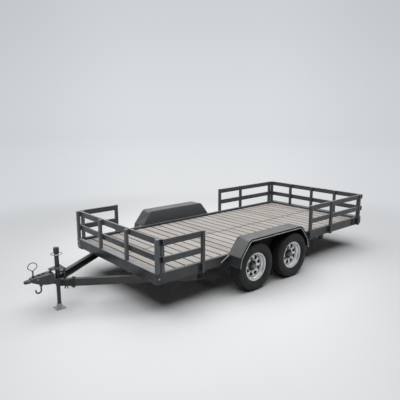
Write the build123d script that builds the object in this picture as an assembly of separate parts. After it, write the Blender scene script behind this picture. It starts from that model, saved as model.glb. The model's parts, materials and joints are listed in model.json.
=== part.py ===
from build123d import *
import os
from math import asin, atan2, cos, degrees, hypot, radians, sin, tan

# A tandem-axle utility trailer with a plank deck, pipe-jack tongue and low guard rails.
# Millimetres, +X towards the coupler, +Y to the left, +Z up. The origin lies on the
# ground, on the centre plane, halfway along the overall length.

# Frame
deck_width = 2120
deck_length = 4740
beam_depth = 135
beam_width = 50
beam_wall = 5
corner_radius = 6
rear_beam_width = 120
rear_beam_wall = 6
rear_edge_radius = 28

# Deck
plank_drop = 35
plank_thickness = 38
plank_gap = 8
plank_count = 28
end_gap = 4
seam_gap = 4

# Members under the deck
cross_member_count = 7
cross_member_flange = 45
member_wall = 5
stringer_spacing = 500
stringer_width = 50

# Tongue
tongue_depth = 95
tongue_width = 60
tongue_wall = 7
tongue_apex_reach = 950
tongue_half_spread = 635
tongue_front_reach = 900
tongue_taper_reach = 705
weld_margin = 5

# Coupler
coupler_reach = 1215
coupler_shoulder_reach = 925
coupler_saddle_reach = 862
coupler_rise = 92
coupler_nose_rise = 52
coupler_nose_length = 76
coupler_nose_step = 18
coupler_nose_thickness = 34
coupler_skirt = 46
coupler_waist_reach = 1030
coupler_throat_reach = 1120
coupler_rear_half_width = 68
coupler_nose_half_width = 36
coupler_nose_radius = 20
ball_radius = 25.6
ball_socket_depth = 34
ball_socket_drop = 10
ball_reach = 1160

# Latch pin with its pull ring
pin_reach = 1100
pin_radius = 9
pin_height = 78
pin_depth = 24
pin_gap = 0.2
ring_wire_radius = 5
ring_half_width = 58
ring_height = 108
ring_side_height = 44

# Safety hook
hook_reach = 1044
hook_wire_radius = 10
hook_radius = 34
hook_shank = 32

# Jack
jack_reach = 790
jack_tube_radius = 28
jack_tube_wall = 3
jack_fit = 0.3
jack_tube_drop = 113
jack_tube_rise = 327
jack_cap_overhang = 5
jack_cap_height = 68
jack_leg_overlap = 220
jack_leg_wall = 4
jack_plate_rise = 120
jack_plate_thickness = 10
jack_plate_front_reach = 900
jack_plate_rear_reach = 712
jack_plate_front_half_width = 34
jack_plate_rear_half_width = 110
spacer_radius = 12
spacer_inset = 22
jack_ring_gap = 2
jack_ring_radius = 66
jack_ring_wire = 6
foot_width = 128
foot_thickness = 10
foot_cone_radius = 42
foot_collar_radius = 32
foot_cone_top = 46
foot_collar_top = 66

# Clamps that tie the jack bracket to the tongue
clamp_reach = 690
clamp_length = 46
clamp_thickness = 9
clamp_stud_radius = 6
clamp_stud_length = 26
clamp_stud_spacing = 26

# Guards
rail_height = 80
rail_thickness = 30
guard_wall = 3
guard_height = 432
mid_rail_top = 213
post_width = 46
post_depth = 45
post_top_drop = 16
side_post_overhang = 45
front_post_pitch = 700
rear_post_pitch = 530
front_section_length = 720
rear_section_start = 3085
rear_section_middle = 3680
front_rail_setback = 45
edge_radius = 4

# Wheels and axles
tyre_radius = 344
tyre_width = 205
tyre_wall = 15
tread_half_width = 82
axle_spacing = 820
axle_centre = 1975
tyre_gap = 25
bead_radius = 190
bead_gap = 0.3
rim_half_width = 74
rim_flange_radius = 204
rim_well_radius = 166
rim_well_outboard = 21
rim_well_inboard = 33
rim_well_slope = 14
rim_metal = 5
disc_offset = 0
disc_crown_radius = 116
disc_crown = 22
disc_crown_width = 26
disc_seat_radius = 84
disc_rim_inset = 16
hub_hole_radius = 42
hub_hole_gap = 0.3
window_count = 8
window_radius = 122
window_length = 46
window_width = 42
drum_radius = 137
drum_depth = 62
drum_wall = 8
hub_radius = 41
cap_radius = 34
cap_length = 52
spindle_radius = 19
bearing_gap = 0.05
hub_end_gap = 6
axle_radius = 30
backing_plate_radius = 128
backing_plate_thickness = 5
running_gap = 6

# Springs
spring_width = 45
leaf_thickness = 6.5
leaf_count = 4
leaf_step = 75
spring_half_length = 320
spring_rise = 60
eye_radius = 19
eye_bolt_radius = 8
bolt_gap = 0.1
seat_thickness = 8
seat_length = 90
hanger_wall = 6
hanger_gap = 1
hanger_length = 70
spring_clearance = 20.5
tie_plate_length = 100
tie_plate_width = 76
tie_plate_thickness = 8

# Fenders
fender_width = 245
fender_sheet = 3
fender_clearance = 90
fender_flat_reach = 173
fender_slope_drop = 224
fender_end_gap = 44
fender_skirt_lean = 33
fender_skirt_drop = 142
fender_bend_radius = 95
fender_fold_radius = 20
fender_lip = 26
brace_thickness = 6
brace_reach = 205
brace_margin = 6
brace_fold_gap = 1

# Places worked out from the sizes above
half_width = deck_width / 2
front_x = (deck_length - coupler_reach) / 2
rear_x = front_x - deck_length
spring_top = tyre_radius - axle_radius - seat_thickness
leaf_radius = (spring_half_length ** 2 + spring_rise ** 2) / (2 * spring_rise)
eye_height = spring_top + spring_rise - leaf_thickness + eye_radius
frame_bottom = eye_height + eye_radius + spring_clearance
frame_top = frame_bottom + beam_depth
deck_top = frame_top - plank_drop
deck_underside = deck_top - plank_thickness
inner_half_width = half_width - beam_width
guard_top = frame_top + guard_height
spring_y = half_width - beam_width / 2
wheel_y = half_width + tyre_gap + tyre_width / 2
axle_xs = {
    "front": front_x - axle_centre + axle_spacing / 2,
    "rear": front_x - axle_centre - axle_spacing / 2,
}
front_rail_x = front_x - front_rail_setback
rear_rail_x = rear_x + rear_beam_width - post_depth - rail_thickness
side_post_rear_x = rear_x + rear_beam_width + post_width / 2
deck_front_x = front_x - beam_width
deck_rear_x = rear_x + rear_beam_width
jack_x = front_x + jack_reach
tongue_slope = tongue_half_spread / tongue_apex_reach
tongue_angle = degrees(atan2(tongue_half_spread, tongue_apex_reach))
tongue_top = frame_bottom
tongue_bottom = tongue_top - tongue_depth
coupler_top = tongue_top + coupler_rise
coupler_nose_top = tongue_top + coupler_nose_rise
coupler_step_top = coupler_nose_top + coupler_nose_step
coupler_bottom = tongue_top - coupler_skirt
ball_socket_face = tongue_top - ball_socket_drop
jack_tube_bottom = tongue_top - jack_tube_drop
jack_tube_top = tongue_top + jack_tube_rise
jack_leg_top = jack_tube_bottom + jack_leg_overlap
jack_plate_height = tongue_top + jack_plate_rise
jack_cap_radius = jack_tube_radius + jack_cap_overhang
jack_cap_bottom = jack_tube_top - jack_tube_radius / 4
jack_ring_height = jack_cap_bottom - jack_ring_gap - jack_ring_wire
rail_outer_y = half_width + rail_thickness
rail_levels = [
    (frame_top + mid_rail_top - rail_height, frame_top + mid_rail_top),
    (guard_top - rail_height, guard_top),
]
equaliser_half = axle_spacing / 2 - spring_half_length
equaliser_pivot = (frame_bottom + eye_height) / 2 - eye_bolt_radius / 2
fender_top = 2 * tyre_radius + fender_clearance
fender_flat_half = axle_spacing / 2 + fender_flat_reach
hanger_end = axle_spacing / 2 + spring_half_length + hanger_length / 2
fender_end_half = max(axle_spacing / 2 + tyre_radius + fender_end_gap,
                      hanger_end + fender_skirt_lean)
fender_fold_half = fender_end_half - fender_skirt_lean
fender_fold_height = fender_top - fender_slope_drop
brace_top = min(frame_top, fender_fold_height - brace_fold_gap) - brace_margin

os.makedirs("parts", exist_ok=True)


def save(name, *shapes):
    """Write one node as a STEP file holding every solid of the given shapes."""
    solids = [solid for shape in shapes for solid in shape.solids()]
    export_step(Compound(solids), f"parts/{name}.step")


def block(x0, x1, y0, y1, z0, z1):
    """A rectangular block between two opposite corners."""
    return Pos((x0 + x1) / 2, (y0 + y1) / 2, (z0 + z1) / 2) * Box(x1 - x0, y1 - y0, z1 - z0)


def bar(x0, x1, y0, y1, z0, z1, axis, radius=edge_radius):
    """A block whose four edges along one axis are rounded."""
    solid = block(x0, x1, y0, y1, z0, z1)
    return fillet(solid.edges().filter_by(axis), radius)


def tube_post(x0, x1, y0, y1, z0, z1):
    """An upright rectangular tube, capped at its top."""
    bore = block(x0 + guard_wall, x1 - guard_wall, y0 + guard_wall, y1 - guard_wall,
                 z0, z1 - guard_wall)
    return bar(x0, x1, y0, y1, z0, z1, Axis.Z) - bore


def rod(start, end, radius):
    """A round rod between two points."""
    along = Vector(*end) - Vector(*start)
    return Plane(origin=start, z_dir=along) * Cylinder(
        radius, along.length, align=(Align.CENTER, Align.CENTER, Align.MIN))


def upright(x, y, z0, z1, radius):
    """A vertical round rod."""
    return rod((x, y, z0), (x, y, z1), radius)


def both_sides(shape):
    """The shape and its mirror image across the centre plane."""
    return [shape, mirror(shape, about=Plane.XZ)]


def plan_solid(points, z0, z1):
    """A flat plate with a polygonal outline seen from above."""
    face = make_face(Polyline(*points, close=True))
    return extrude(Pos(0, 0, z0) * face, z1 - z0)


def side_face(points):
    """A polygonal face in the vertical lengthwise plane, points given as (x, z)."""
    return make_face(Polyline(*[(x, 0, z) for x, z in points], close=True))


def side_solid(points, y0, y1):
    """A solid with a polygonal outline seen from the side, between two widths."""
    return extrude(Pos(0, y0, 0) * side_face(points), y1 - y0, dir=(0, 1, 0))


# Frame ------------------------------------------------------------------------------


def make_side_beam():
    """The left side beam, a rectangular tube between the front and rear beams."""
    outer = bar(deck_rear_x, deck_front_x, inner_half_width, half_width,
                frame_bottom, frame_top, Axis.X, corner_radius)
    bore = block(deck_rear_x, deck_front_x, inner_half_width + beam_wall, half_width - beam_wall,
                 frame_bottom + beam_wall, frame_top - beam_wall)
    return outer - bore


def make_front_beam():
    """The front beam across the full width, a channel open to the deck with closed ends."""
    beam = bar(deck_front_x, front_x, -half_width, half_width, frame_bottom, frame_top,
               Axis.Y, corner_radius)
    return beam - block(deck_front_x, front_x - beam_wall, beam_wall - half_width,
                        half_width - beam_wall, frame_bottom + beam_wall, frame_top - beam_wall)


def rear_channel(wall):
    """The rear beam's outline, moved inwards by a wall thickness."""
    beam = block(rear_x + wall, deck_rear_x, wall - half_width, half_width - wall,
                 frame_bottom + wall, frame_top - wall)
    rear_edges = beam.edges().filter_by(Axis.Y).group_by(Axis.X)[0]
    return fillet(rear_edges, rear_edge_radius - wall)


def make_rear_beam():
    """The wider rear beam, a channel open to the deck with closed ends and rounded edges."""
    return rear_channel(0) - rear_channel(rear_beam_wall)


def cross_member_centres():
    pitch = (deck_front_x - deck_rear_x) / (cross_member_count + 1)
    return [deck_rear_x + pitch * (i + 1) for i in range(cross_member_count)]


def make_cross_members():
    """Channels across the frame, open towards the rear."""
    members = []
    for x in cross_member_centres():
        front = x + cross_member_flange / 2
        back = x - cross_member_flange / 2
        channel = block(back, front, -inner_half_width, inner_half_width,
                        frame_bottom, deck_underside)
        hollow = block(back, front - member_wall, -inner_half_width, inner_half_width,
                       frame_bottom + member_wall, deck_underside - member_wall)
        members.append(channel - hollow)
    return members


def make_stringers():
    """Flat lengthwise nailing strips between the cross members, under the planks."""
    centres = [deck_rear_x - cross_member_flange / 2, *cross_member_centres(),
               deck_front_x + cross_member_flange / 2]
    strips = []
    for rear, front in zip(centres, centres[1:]):
        for y in (-stringer_spacing, 0, stringer_spacing):
            strips.append(block(rear + cross_member_flange / 2, front - cross_member_flange / 2,
                                y - stringer_width / 2, y + stringer_width / 2,
                                deck_underside - beam_wall, deck_underside))
    return strips


def make_planks():
    """Crosswise deck boards in two lengths that meet at a seam over the middle strip."""
    span = deck_front_x - deck_rear_x - 2 * end_gap
    pitch = (span + plank_gap) / plank_count
    planks = []
    for i in range(plank_count):
        rear = deck_rear_x + end_gap + i * pitch
        board = block(rear, rear + pitch - plank_gap, seam_gap / 2, inner_half_width - end_gap,
                      deck_underside, deck_top)
        planks += both_sides(board)
    return planks


# Tongue -----------------------------------------------------------------------------


def tongue_frame(x):
    """A plane at the outer face of the left tongue member, X along it towards the coupler."""
    y = (front_x + tongue_apex_reach - x) * tongue_slope
    return Plane(origin=(x, y, 0), x_dir=(cos(radians(tongue_angle)), -sin(radians(tongue_angle)), 0),
                 z_dir=(0, 0, 1))


def make_tongue():
    """The left tongue channel, open inwards, tapered at the coupler, back to the side beam."""
    length = 2 * (tongue_apex_reach + tongue_half_spread)
    section = block(-length / 2, length / 2, -tongue_width, 0, tongue_bottom, tongue_top)
    hollow = block(-length / 2, length / 2, -tongue_width, -tongue_wall,
                   tongue_bottom + tongue_wall, tongue_top - tongue_wall)
    channel = tongue_frame(front_x) * (section - hollow)
    front = front_x + tongue_front_reach
    keep = side_solid([
        (front_x - length, tongue_bottom), (front_x + tongue_taper_reach, tongue_bottom),
        (front, coupler_bottom), (front, tongue_top), (front_x - length, tongue_top),
    ], 0, half_width - weld_margin)
    jack_notch = upright(jack_x, 0, tongue_bottom, tongue_top, jack_tube_radius + jack_fit)
    return (channel & keep) - jack_notch


def coupler_height(reach):
    """Height of the coupler's sloping top at a distance in front of the frame."""
    step_reach = coupler_reach - coupler_nose_length
    share = (step_reach - reach) / (step_reach - coupler_shoulder_reach)
    return coupler_step_top + share * (coupler_top - coupler_step_top)


def make_coupler():
    """A tapered ball coupler that sits on and in front of the tongue's apex."""
    nose = front_x + coupler_reach
    front = front_x + tongue_front_reach
    saddle = front_x + coupler_saddle_reach
    shoulder = front_x + coupler_shoulder_reach
    waist = front_x + coupler_waist_reach
    throat = front_x + coupler_throat_reach
    socket_front = front_x + ball_reach + ball_radius + coupler_nose_radius / 2
    side = side_solid([
        (nose, coupler_nose_top - coupler_nose_thickness), (nose, coupler_nose_top),
        (nose - coupler_nose_length, coupler_nose_top), (nose - coupler_nose_length, coupler_step_top),
        (shoulder, coupler_top),
        (saddle, coupler_top), (saddle, tongue_top), (front, tongue_top),
        (front, coupler_bottom), (waist, coupler_bottom), (throat, ball_socket_face),
        (socket_front, ball_socket_face),
    ], -coupler_rear_half_width, coupler_rear_half_width)
    plan = plan_solid([
        (saddle, -coupler_rear_half_width), (shoulder, -coupler_rear_half_width),
        (nose - 2 * coupler_nose_radius, -coupler_nose_half_width),
        (nose, -coupler_nose_half_width / 2), (nose, coupler_nose_half_width / 2),
        (nose - 2 * coupler_nose_radius, coupler_nose_half_width),
        (shoulder, coupler_rear_half_width), (saddle, coupler_rear_half_width),
    ], coupler_bottom, coupler_top)
    socket = upright(front_x + ball_reach, 0, ball_socket_face,
                     ball_socket_face + ball_socket_depth, ball_radius)
    pin_hole = upright(front_x + pin_reach, 0, coupler_height(pin_reach) - pin_depth, coupler_top,
                       pin_radius + pin_gap)
    return (side & plan) - socket - pin_hole


def make_coupler_pin():
    """The latch pin standing on the coupler with its wire pull ring."""
    x = front_x + pin_reach
    base = coupler_height(pin_reach)
    head = base + pin_height
    pin = upright(x, 0, base - pin_depth, head, pin_radius)
    collar = upright(x, 0, base + pin_radius / 2, base + 2 * pin_radius, 2 * pin_radius)
    side_z = head + ring_side_height
    path = (Line((x, 0, head), (x + ring_half_width, 0, side_z))
            + ThreePointArc((x + ring_half_width, 0, side_z), (x, 0, head + ring_height),
                            (x - ring_half_width, 0, side_z))
            + Line((x - ring_half_width, 0, side_z), (x, 0, head)))
    ring = sweep(Plane(origin=path @ 0, z_dir=path % 0) * Circle(ring_wire_radius),
                 path=path, transition=Transition.ROUND)
    return pin + collar + ring


def make_safety_hook():
    """The slip hook that hangs below the coupler."""
    x = front_x + hook_reach
    top = coupler_bottom
    eye_z = top - hook_shank
    bend_z = eye_z - hook_radius
    path = (Line((x - hook_radius, 0, top), (x - hook_radius, 0, bend_z))
            + ThreePointArc((x - hook_radius, 0, bend_z), (x, 0, bend_z - hook_radius),
                            (x + hook_radius, 0, bend_z)))
    shape = sweep(Plane(origin=path @ 0, z_dir=path % 0) * Circle(hook_wire_radius), path=path)
    tip = Cone(hook_wire_radius, hook_wire_radius / 2, hook_radius / 2,
               align=(Align.CENTER, Align.CENTER, Align.MIN))
    return shape + Pos(x + hook_radius, 0, bend_z) * tip


# Jack -------------------------------------------------------------------------------


def make_jack_plate():
    """The triangular bracket that holds the jack tube, on its spacers."""
    top = jack_plate_height + jack_plate_thickness
    front = front_x + jack_plate_front_reach
    rear = front_x + jack_plate_rear_reach
    plate = plan_solid([
        (front, -jack_plate_front_half_width), (front, jack_plate_front_half_width),
        (rear, jack_plate_rear_half_width), (rear, -jack_plate_rear_half_width),
    ], jack_plate_height, top)
    plate -= upright(jack_x, 0, jack_plate_height, top, jack_tube_radius + jack_fit)
    plate += upright(front - spacer_inset, 0, coupler_top, jack_plate_height, spacer_radius)
    for y in (-1, 1):
        plate += upright(rear + spacer_inset, y * (jack_plate_rear_half_width - spacer_inset),
                         tongue_top, jack_plate_height, spacer_radius)
    return plate


def make_jack_tube():
    """The outer jack tube with its closed cap."""
    tube = upright(jack_x, 0, jack_tube_bottom, jack_tube_top, jack_tube_radius)
    cap = upright(jack_x, 0, jack_cap_bottom, jack_tube_top + jack_cap_height, jack_cap_radius)
    bore = upright(jack_x, 0, jack_tube_bottom, jack_tube_top, jack_tube_radius - jack_tube_wall)
    return tube + cap - bore


def make_jack_ring():
    """The wire hoop round the top of the jack tube, held by two spokes."""
    hoop = Pos(jack_x, 0, jack_ring_height) * Torus(jack_ring_radius, jack_ring_wire)
    reach = jack_tube_radius + jack_fit
    for side in (-1, 1):
        hoop += rod((jack_x, side * reach, jack_ring_height),
                    (jack_x, side * jack_ring_radius, jack_ring_height), jack_ring_wire)
    return hoop


def make_jack_leg():
    """The inner tube that slides in the jack tube."""
    radius = jack_tube_radius - jack_tube_wall - jack_fit
    leg = upright(jack_x, 0, foot_thickness, jack_leg_top, radius)
    return leg - upright(jack_x, 0, foot_thickness, jack_leg_top, radius - jack_leg_wall)


def make_jack_foot():
    """The square foot plate with its flared socket."""
    half = foot_width / 2
    radius = jack_tube_radius - jack_tube_wall - jack_fit
    foot = block(jack_x - half, jack_x + half, -half, half, 0, foot_thickness)
    foot += Pos(jack_x, 0, foot_thickness) * Cone(
        foot_cone_radius, foot_collar_radius, foot_cone_top - foot_thickness,
        align=(Align.CENTER, Align.CENTER, Align.MIN))
    foot += upright(jack_x, 0, foot_cone_top, foot_collar_top, foot_collar_radius)
    return foot - upright(jack_x, 0, foot_thickness, foot_collar_top, radius + jack_fit / 3)


def make_jack_clamp():
    """A strap round the left tongue member with two studs below it."""
    outer = block(-clamp_length, 0, -tongue_width - clamp_thickness, clamp_thickness,
                  tongue_bottom - clamp_thickness, tongue_top + clamp_thickness)
    inner = block(-clamp_length, 0, -tongue_width - jack_fit, jack_fit,
                  tongue_bottom - jack_fit, tongue_top + jack_fit)
    strap = outer - inner
    for offset in (-clamp_stud_spacing / 2, clamp_stud_spacing / 2):
        strap += upright(-clamp_length / 2, offset - tongue_width / 2,
                         tongue_bottom - clamp_thickness - clamp_stud_length,
                         tongue_bottom - clamp_thickness, clamp_stud_radius)
    return tongue_frame(front_x + clamp_reach) * strap


# Guards -----------------------------------------------------------------------------


def crosswise_rails(rear, front, reach):
    """Two rail tubes across the trailer, open at their ends."""
    rails = []
    for low, high in rail_levels:
        rail = bar(rear, front, -reach, reach, low, high, Axis.Y)
        rails.append(rail - block(rear + guard_wall, front - guard_wall, -reach, reach,
                                  low + guard_wall, high - guard_wall))
    return rails


def make_front_posts():
    """Four posts in front of the front rails and a corner post behind them at each end."""
    post_top = guard_top - post_top_drop
    posts = []
    for y in (-front_post_pitch / 2, front_post_pitch / 2):
        posts.append(tube_post(front_rail_x, front_rail_x + post_depth, y - post_width / 2,
                               y + post_width / 2, frame_top, post_top))
    inner_y = half_width - post_width
    end = tube_post(front_rail_x, front_rail_x + post_depth, inner_y, half_width, frame_top,
                    guard_top)
    corner = tube_post(front_rail_x - rail_thickness - post_depth, front_rail_x - rail_thickness,
                       inner_y, half_width, frame_top, guard_top)
    return posts + both_sides(end) + both_sides(corner)


def make_side_posts():
    """Posts on the outer faces of the side beams."""
    centres = [front_x - front_section_length, front_x - rear_section_start,
               front_x - rear_section_middle, side_post_rear_x]
    posts = []
    for x in centres:
        post = tube_post(x - post_width / 2, x + post_width / 2, half_width,
                         half_width + side_post_overhang, frame_bottom, guard_top)
        posts += both_sides(post)
    return posts


def make_side_rails():
    """Side rail tubes that run between the posts of each section."""
    half = post_width / 2
    stretches = [
        (front_x - front_section_length + half, front_rail_x - rail_thickness),
        (front_x - rear_section_middle + half, front_x - rear_section_start - half),
        (side_post_rear_x + half, front_x - rear_section_middle - half),
        (rear_rail_x + rail_thickness, side_post_rear_x - half),
    ]
    rails = []
    for rear, front in stretches:
        for low, high in rail_levels:
            rail = bar(rear, front, half_width, rail_outer_y, low, high, Axis.X)
            bore = block(rear, front, half_width + guard_wall, rail_outer_y - guard_wall,
                         low + guard_wall, high - guard_wall)
            rails += both_sides(rail - bore)
    return rails


def make_rear_posts():
    """Five posts on the rear beam, on the deck side of the rear rails."""
    corner = half_width - post_width / 2
    posts = []
    for y in (-corner, -rear_post_pitch, 0, rear_post_pitch, corner):
        posts.append(tube_post(rear_rail_x + rail_thickness,
                               rear_rail_x + rail_thickness + post_depth,
                               y - post_width / 2, y + post_width / 2, frame_top, guard_top))
    return posts


# Wheels -----------------------------------------------------------------------------


def spun(points):
    """A ring turned about the Y axis from (width, radius) points, outboard positive."""
    face = make_face(Polyline(*[(r, a, 0) for a, r in points], close=True))
    return revolve(face, axis=Axis.Y)


def make_tyre():
    """A radial trailer tyre, open at the beads."""
    half = tyre_width / 2
    belly = (bead_radius + tyre_radius) / 2 - tyre_wall / 2
    inner = bead_radius + bead_gap
    bead = rim_half_width - rim_metal - bead_gap

    flange_top = rim_flange_radius + bead_gap
    shoulder_radius = tyre_radius - tyre_wall
    bead_side = Line((inner, bead, 0), (flange_top, bead, 0))
    wall = ThreePointArc(bead_side @ 1, (belly, half, 0),
                         (shoulder_radius, tread_half_width + tyre_wall / 2, 0))
    outline = bead_side + wall + Polyline(wall @ 1, (tyre_radius, tread_half_width - tyre_wall / 2, 0),
                                          (tyre_radius, 0, 0), (inner, 0, 0), (inner, bead, 0))
    cavity = Polyline((inner, 0, 0), (inner, bead - tyre_wall, 0), (belly, half - tyre_wall, 0),
                      (shoulder_radius - tyre_wall, tread_half_width - tyre_wall / 2, 0),
                      (shoulder_radius, tread_half_width - 2 * tyre_wall, 0),
                      (shoulder_radius, 0, 0), close=True)
    half_tyre = revolve(make_face(outline.edges()) - make_face(cavity), axis=Axis.Y)
    return half_tyre + mirror(half_tyre, about=Plane.XZ)


def make_rim():
    """A steel wheel: a drop-centre barrel and a crowned disc with windows."""
    edge = rim_half_width
    well_out = rim_well_outboard
    well_in = -rim_well_inboard
    lip = rim_metal
    barrel = spun([
        (edge, rim_flange_radius), (edge - lip, rim_flange_radius), (edge - lip, bead_radius),
        (well_out + rim_well_slope, bead_radius), (well_out, rim_well_radius + lip),
        (well_in, rim_well_radius + lip), (well_in - rim_well_slope, bead_radius),
        (lip - edge, bead_radius), (lip - edge, rim_flange_radius), (-edge, rim_flange_radius),
        (-edge, bead_radius - lip), (well_in - rim_well_slope - lip / 2, bead_radius - lip),
        (well_in - lip / 2, rim_well_radius), (well_out + lip / 2, rim_well_radius),
        (well_out + rim_well_slope + lip / 2, bead_radius - lip), (edge, bead_radius - lip),
    ])
    seat = disc_offset
    crown = seat + disc_crown
    crown_end = disc_crown_radius + disc_crown_width
    weld = well_out - disc_rim_inset
    disc = spun([
        (seat, hub_hole_radius), (seat, disc_seat_radius), (crown, disc_crown_radius),
        (crown, crown_end), (weld, rim_well_radius), (weld - lip, rim_well_radius),
        (crown - lip, crown_end - lip), (crown - lip, disc_crown_radius + lip / 2),
        (seat - lip, disc_seat_radius + lip), (seat - lip, hub_hole_radius),
    ])
    window = extrude(Plane.XZ.offset(-2 * disc_crown)
                     * SlotOverall(window_length, window_width, rotation=90), 4 * disc_crown)
    for i in range(window_count):
        disc -= Rot(0, 360 * (i + 0.5) / window_count, 0) * Pos(0, 0, window_radius) * window
    return barrel + disc


def make_hub():
    """The hub with its brake drum, bearing bore and cap."""
    face = disc_offset - rim_metal
    drum_back = face - drum_depth
    end = cap_length
    bore = spindle_radius + bearing_gap
    shell = spun([
        (face, hub_hole_radius - hub_hole_gap), (face, drum_radius - drum_wall),
        (face - drum_wall, drum_radius), (drum_back, drum_radius),
        (drum_back, drum_radius - drum_wall), (face - drum_wall, drum_radius - drum_wall),
        (face - drum_wall, hub_radius), (drum_back, hub_radius), (drum_back, bore),
        (face, bore),
    ])
    nose = spun([
        (face, bore), (face, hub_hole_radius - hub_hole_gap),
        (face + 2 * rim_metal, hub_hole_radius - hub_hole_gap), (face + 4 * rim_metal, cap_radius),
        (end - rim_metal, cap_radius), (end, cap_radius - rim_metal), (end, 0),
        (end - rim_metal, 0),
        (end - rim_metal, bore),
    ])
    return shell + nose


def make_axle():
    """A straight tube axle with spring seats, backing plates and spindles."""
    drum_back = wheel_y + disc_offset - rim_metal - drum_depth
    tube_end = drum_back - running_gap
    spindle_end = wheel_y + cap_length - rim_metal - hub_end_gap
    axle = rod((0, -tube_end, 0), (0, tube_end, 0), axle_radius)
    axle += rod((0, -spindle_end, 0), (0, spindle_end, 0), spindle_radius)
    for side in (-1, 1):
        axle += rod((0, side * tube_end, 0), (0, side * (tube_end - backing_plate_thickness), 0),
                    backing_plate_radius)
        inner, outer = side * spring_y - spring_width / 2, side * spring_y + spring_width / 2
        leaf_centre = leaf_radius - axle_radius - seat_thickness
        seat = block(-seat_length / 2, seat_length / 2, inner, outer,
                     -axle_radius - seat_thickness, 0)
        axle += seat & rod((0, inner, leaf_centre), (0, outer, leaf_centre), leaf_radius)
    return axle


# Springs ----------------------------------------------------------------------------


def make_spring():
    """A stack of curved leaves with an eye at each end, centred on its own axle."""
    centre = (0, spring_top + leaf_radius)
    spring = None
    for i in range(leaf_count):
        half_angle = degrees(asin((spring_half_length - i * leaf_step) / leaf_radius))
        upper = leaf_radius + i * leaf_thickness
        lower = upper + leaf_thickness
        ring = Circle(lower) - Circle(upper)
        wedge_drop = 2 * leaf_radius
        wedge_half = wedge_drop * tan(radians(half_angle))
        wedge = make_face(Polyline((0, 0), (-wedge_half, -wedge_drop), (wedge_half, -wedge_drop),
                                   close=True))
        leaf = extrude(ring & wedge, spring_width / 2, both=True)
        spring = leaf if spring is None else spring + leaf
    spring = Plane(origin=(centre[0], 0, centre[1]), x_dir=(1, 0, 0), z_dir=(0, -1, 0)) * spring
    for x in (-spring_half_length, spring_half_length):
        spring += rod((x, -spring_width / 2, eye_height), (x, spring_width / 2, eye_height), eye_radius)
    for x in (-spring_half_length, spring_half_length):
        spring -= rod((x, -spring_width, eye_height), (x, spring_width, eye_height), eye_bolt_radius)
    return spring


def make_hanger(x):
    """A pair of plates under the side beam with the spring's bolt between them."""
    hanger = None
    inner = spring_width / 2 + hanger_gap
    for side in (-1, 1):
        near, far = sorted((side * inner, side * (inner + hanger_wall)))
        plate = side_solid([
            (x - hanger_length / 2, frame_bottom), (x + hanger_length / 2, frame_bottom),
            (x + eye_radius, eye_height - eye_radius), (x - eye_radius, eye_height - eye_radius),
        ], spring_y + near, spring_y + far)
        hanger = plate if hanger is None else hanger + plate
    reach = inner + 2 * hanger_wall
    return hanger + rod((x, spring_y - reach, eye_height), (x, spring_y + reach, eye_height),
                        eye_bolt_radius - bolt_gap)


def make_centre_hanger(x):
    """The block between the springs that carries the equaliser."""
    width = spring_width / 2
    hanger = side_solid([
        (x - hanger_length / 2, frame_bottom), (x + hanger_length / 2, frame_bottom),
        (x + eye_radius, eye_height - eye_radius), (x - eye_radius, eye_height - eye_radius),
    ], spring_y - width, spring_y + width)
    return hanger - rod((x, spring_y - 2 * width, equaliser_pivot),
                        (x, spring_y + 2 * width, equaliser_pivot), eye_bolt_radius)


def make_equaliser(x):
    """Two rocker plates joined by the pivot and the two spring bolts."""
    equaliser = None
    inner = spring_width / 2 + hanger_gap
    half = equaliser_half + eye_radius
    low = eye_height - eye_radius
    for side in (-1, 1):
        near, far = sorted((side * inner, side * (inner + hanger_wall)))
        plate = side_solid([
            (x - half, low), (x + half, low), (x + half, eye_height + eye_bolt_radius),
            (x + eye_radius, frame_bottom - hanger_wall / 2),
            (x - eye_radius, frame_bottom - hanger_wall / 2), (x - half, eye_height + eye_bolt_radius),
        ], spring_y + near, spring_y + far)
        equaliser = plate if equaliser is None else equaliser + plate
    for bolt_x, bolt_z in ((x, equaliser_pivot), (x - equaliser_half, eye_height),
                           (x + equaliser_half, eye_height)):
        reach = inner + 2 * hanger_wall
        equaliser += rod((bolt_x, spring_y - reach, bolt_z), (bolt_x, spring_y + reach, bolt_z),
                         eye_bolt_radius - bolt_gap)
    return equaliser


def make_tie_plate(x):
    """The plate under the spring that its U-bolts pull against."""
    top = spring_top - leaf_count * leaf_thickness
    return block(x - tie_plate_length / 2, x + tie_plate_length / 2,
                 spring_y - tie_plate_width / 2, spring_y + tie_plate_width / 2,
                 top - tie_plate_thickness, top)


# Fenders ----------------------------------------------------------------------------


def fender_outline(inset):
    """Fender line seen from the side, moved inwards by an inset."""
    end_height = fender_fold_height - fender_skirt_drop
    points = [
        (-fender_end_half, end_height), (-fender_fold_half, fender_fold_height),
        (-fender_flat_half, fender_top), (fender_flat_half, fender_top),
        (fender_fold_half, fender_fold_height), (fender_end_half, end_height),
    ]
    if not inset:
        return points
    moved = []
    for i, (x, z) in enumerate(points):
        normals = []
        for a, b in ((i - 1, i), (i, i + 1)):
            if a >= 0 and b < len(points):
                dx, dz = points[b][0] - points[a][0], points[b][1] - points[a][1]
                normals.append((dz / hypot(dx, dz), -dx / hypot(dx, dz)))
        nx = sum(n[0] for n in normals)
        nz = sum(n[1] for n in normals)
        scale = inset * len(normals) / (nx * nx + nz * nz)
        moved.append((x + nx * scale, z + nz * scale))
    return moved


def fender_line(inset):
    """Fender line with its bends rounded, moved inwards by an inset."""
    bend = fender_bend_radius - inset
    radii = [fender_fold_radius, bend, bend, fender_fold_radius]
    return FilletPolyline(*[(x, 0, z) for x, z in fender_outline(inset)], radius=radii)


def fender_band(inset):
    """Closed face between the fender line and the line inset from it."""
    outer = fender_line(0)
    inner = fender_line(inset)
    return make_face([*outer.edges(), *inner.edges(), *Line(outer @ 0, inner @ 0).edges(),
                      *Line(outer @ 1, inner @ 1).edges()])


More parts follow.
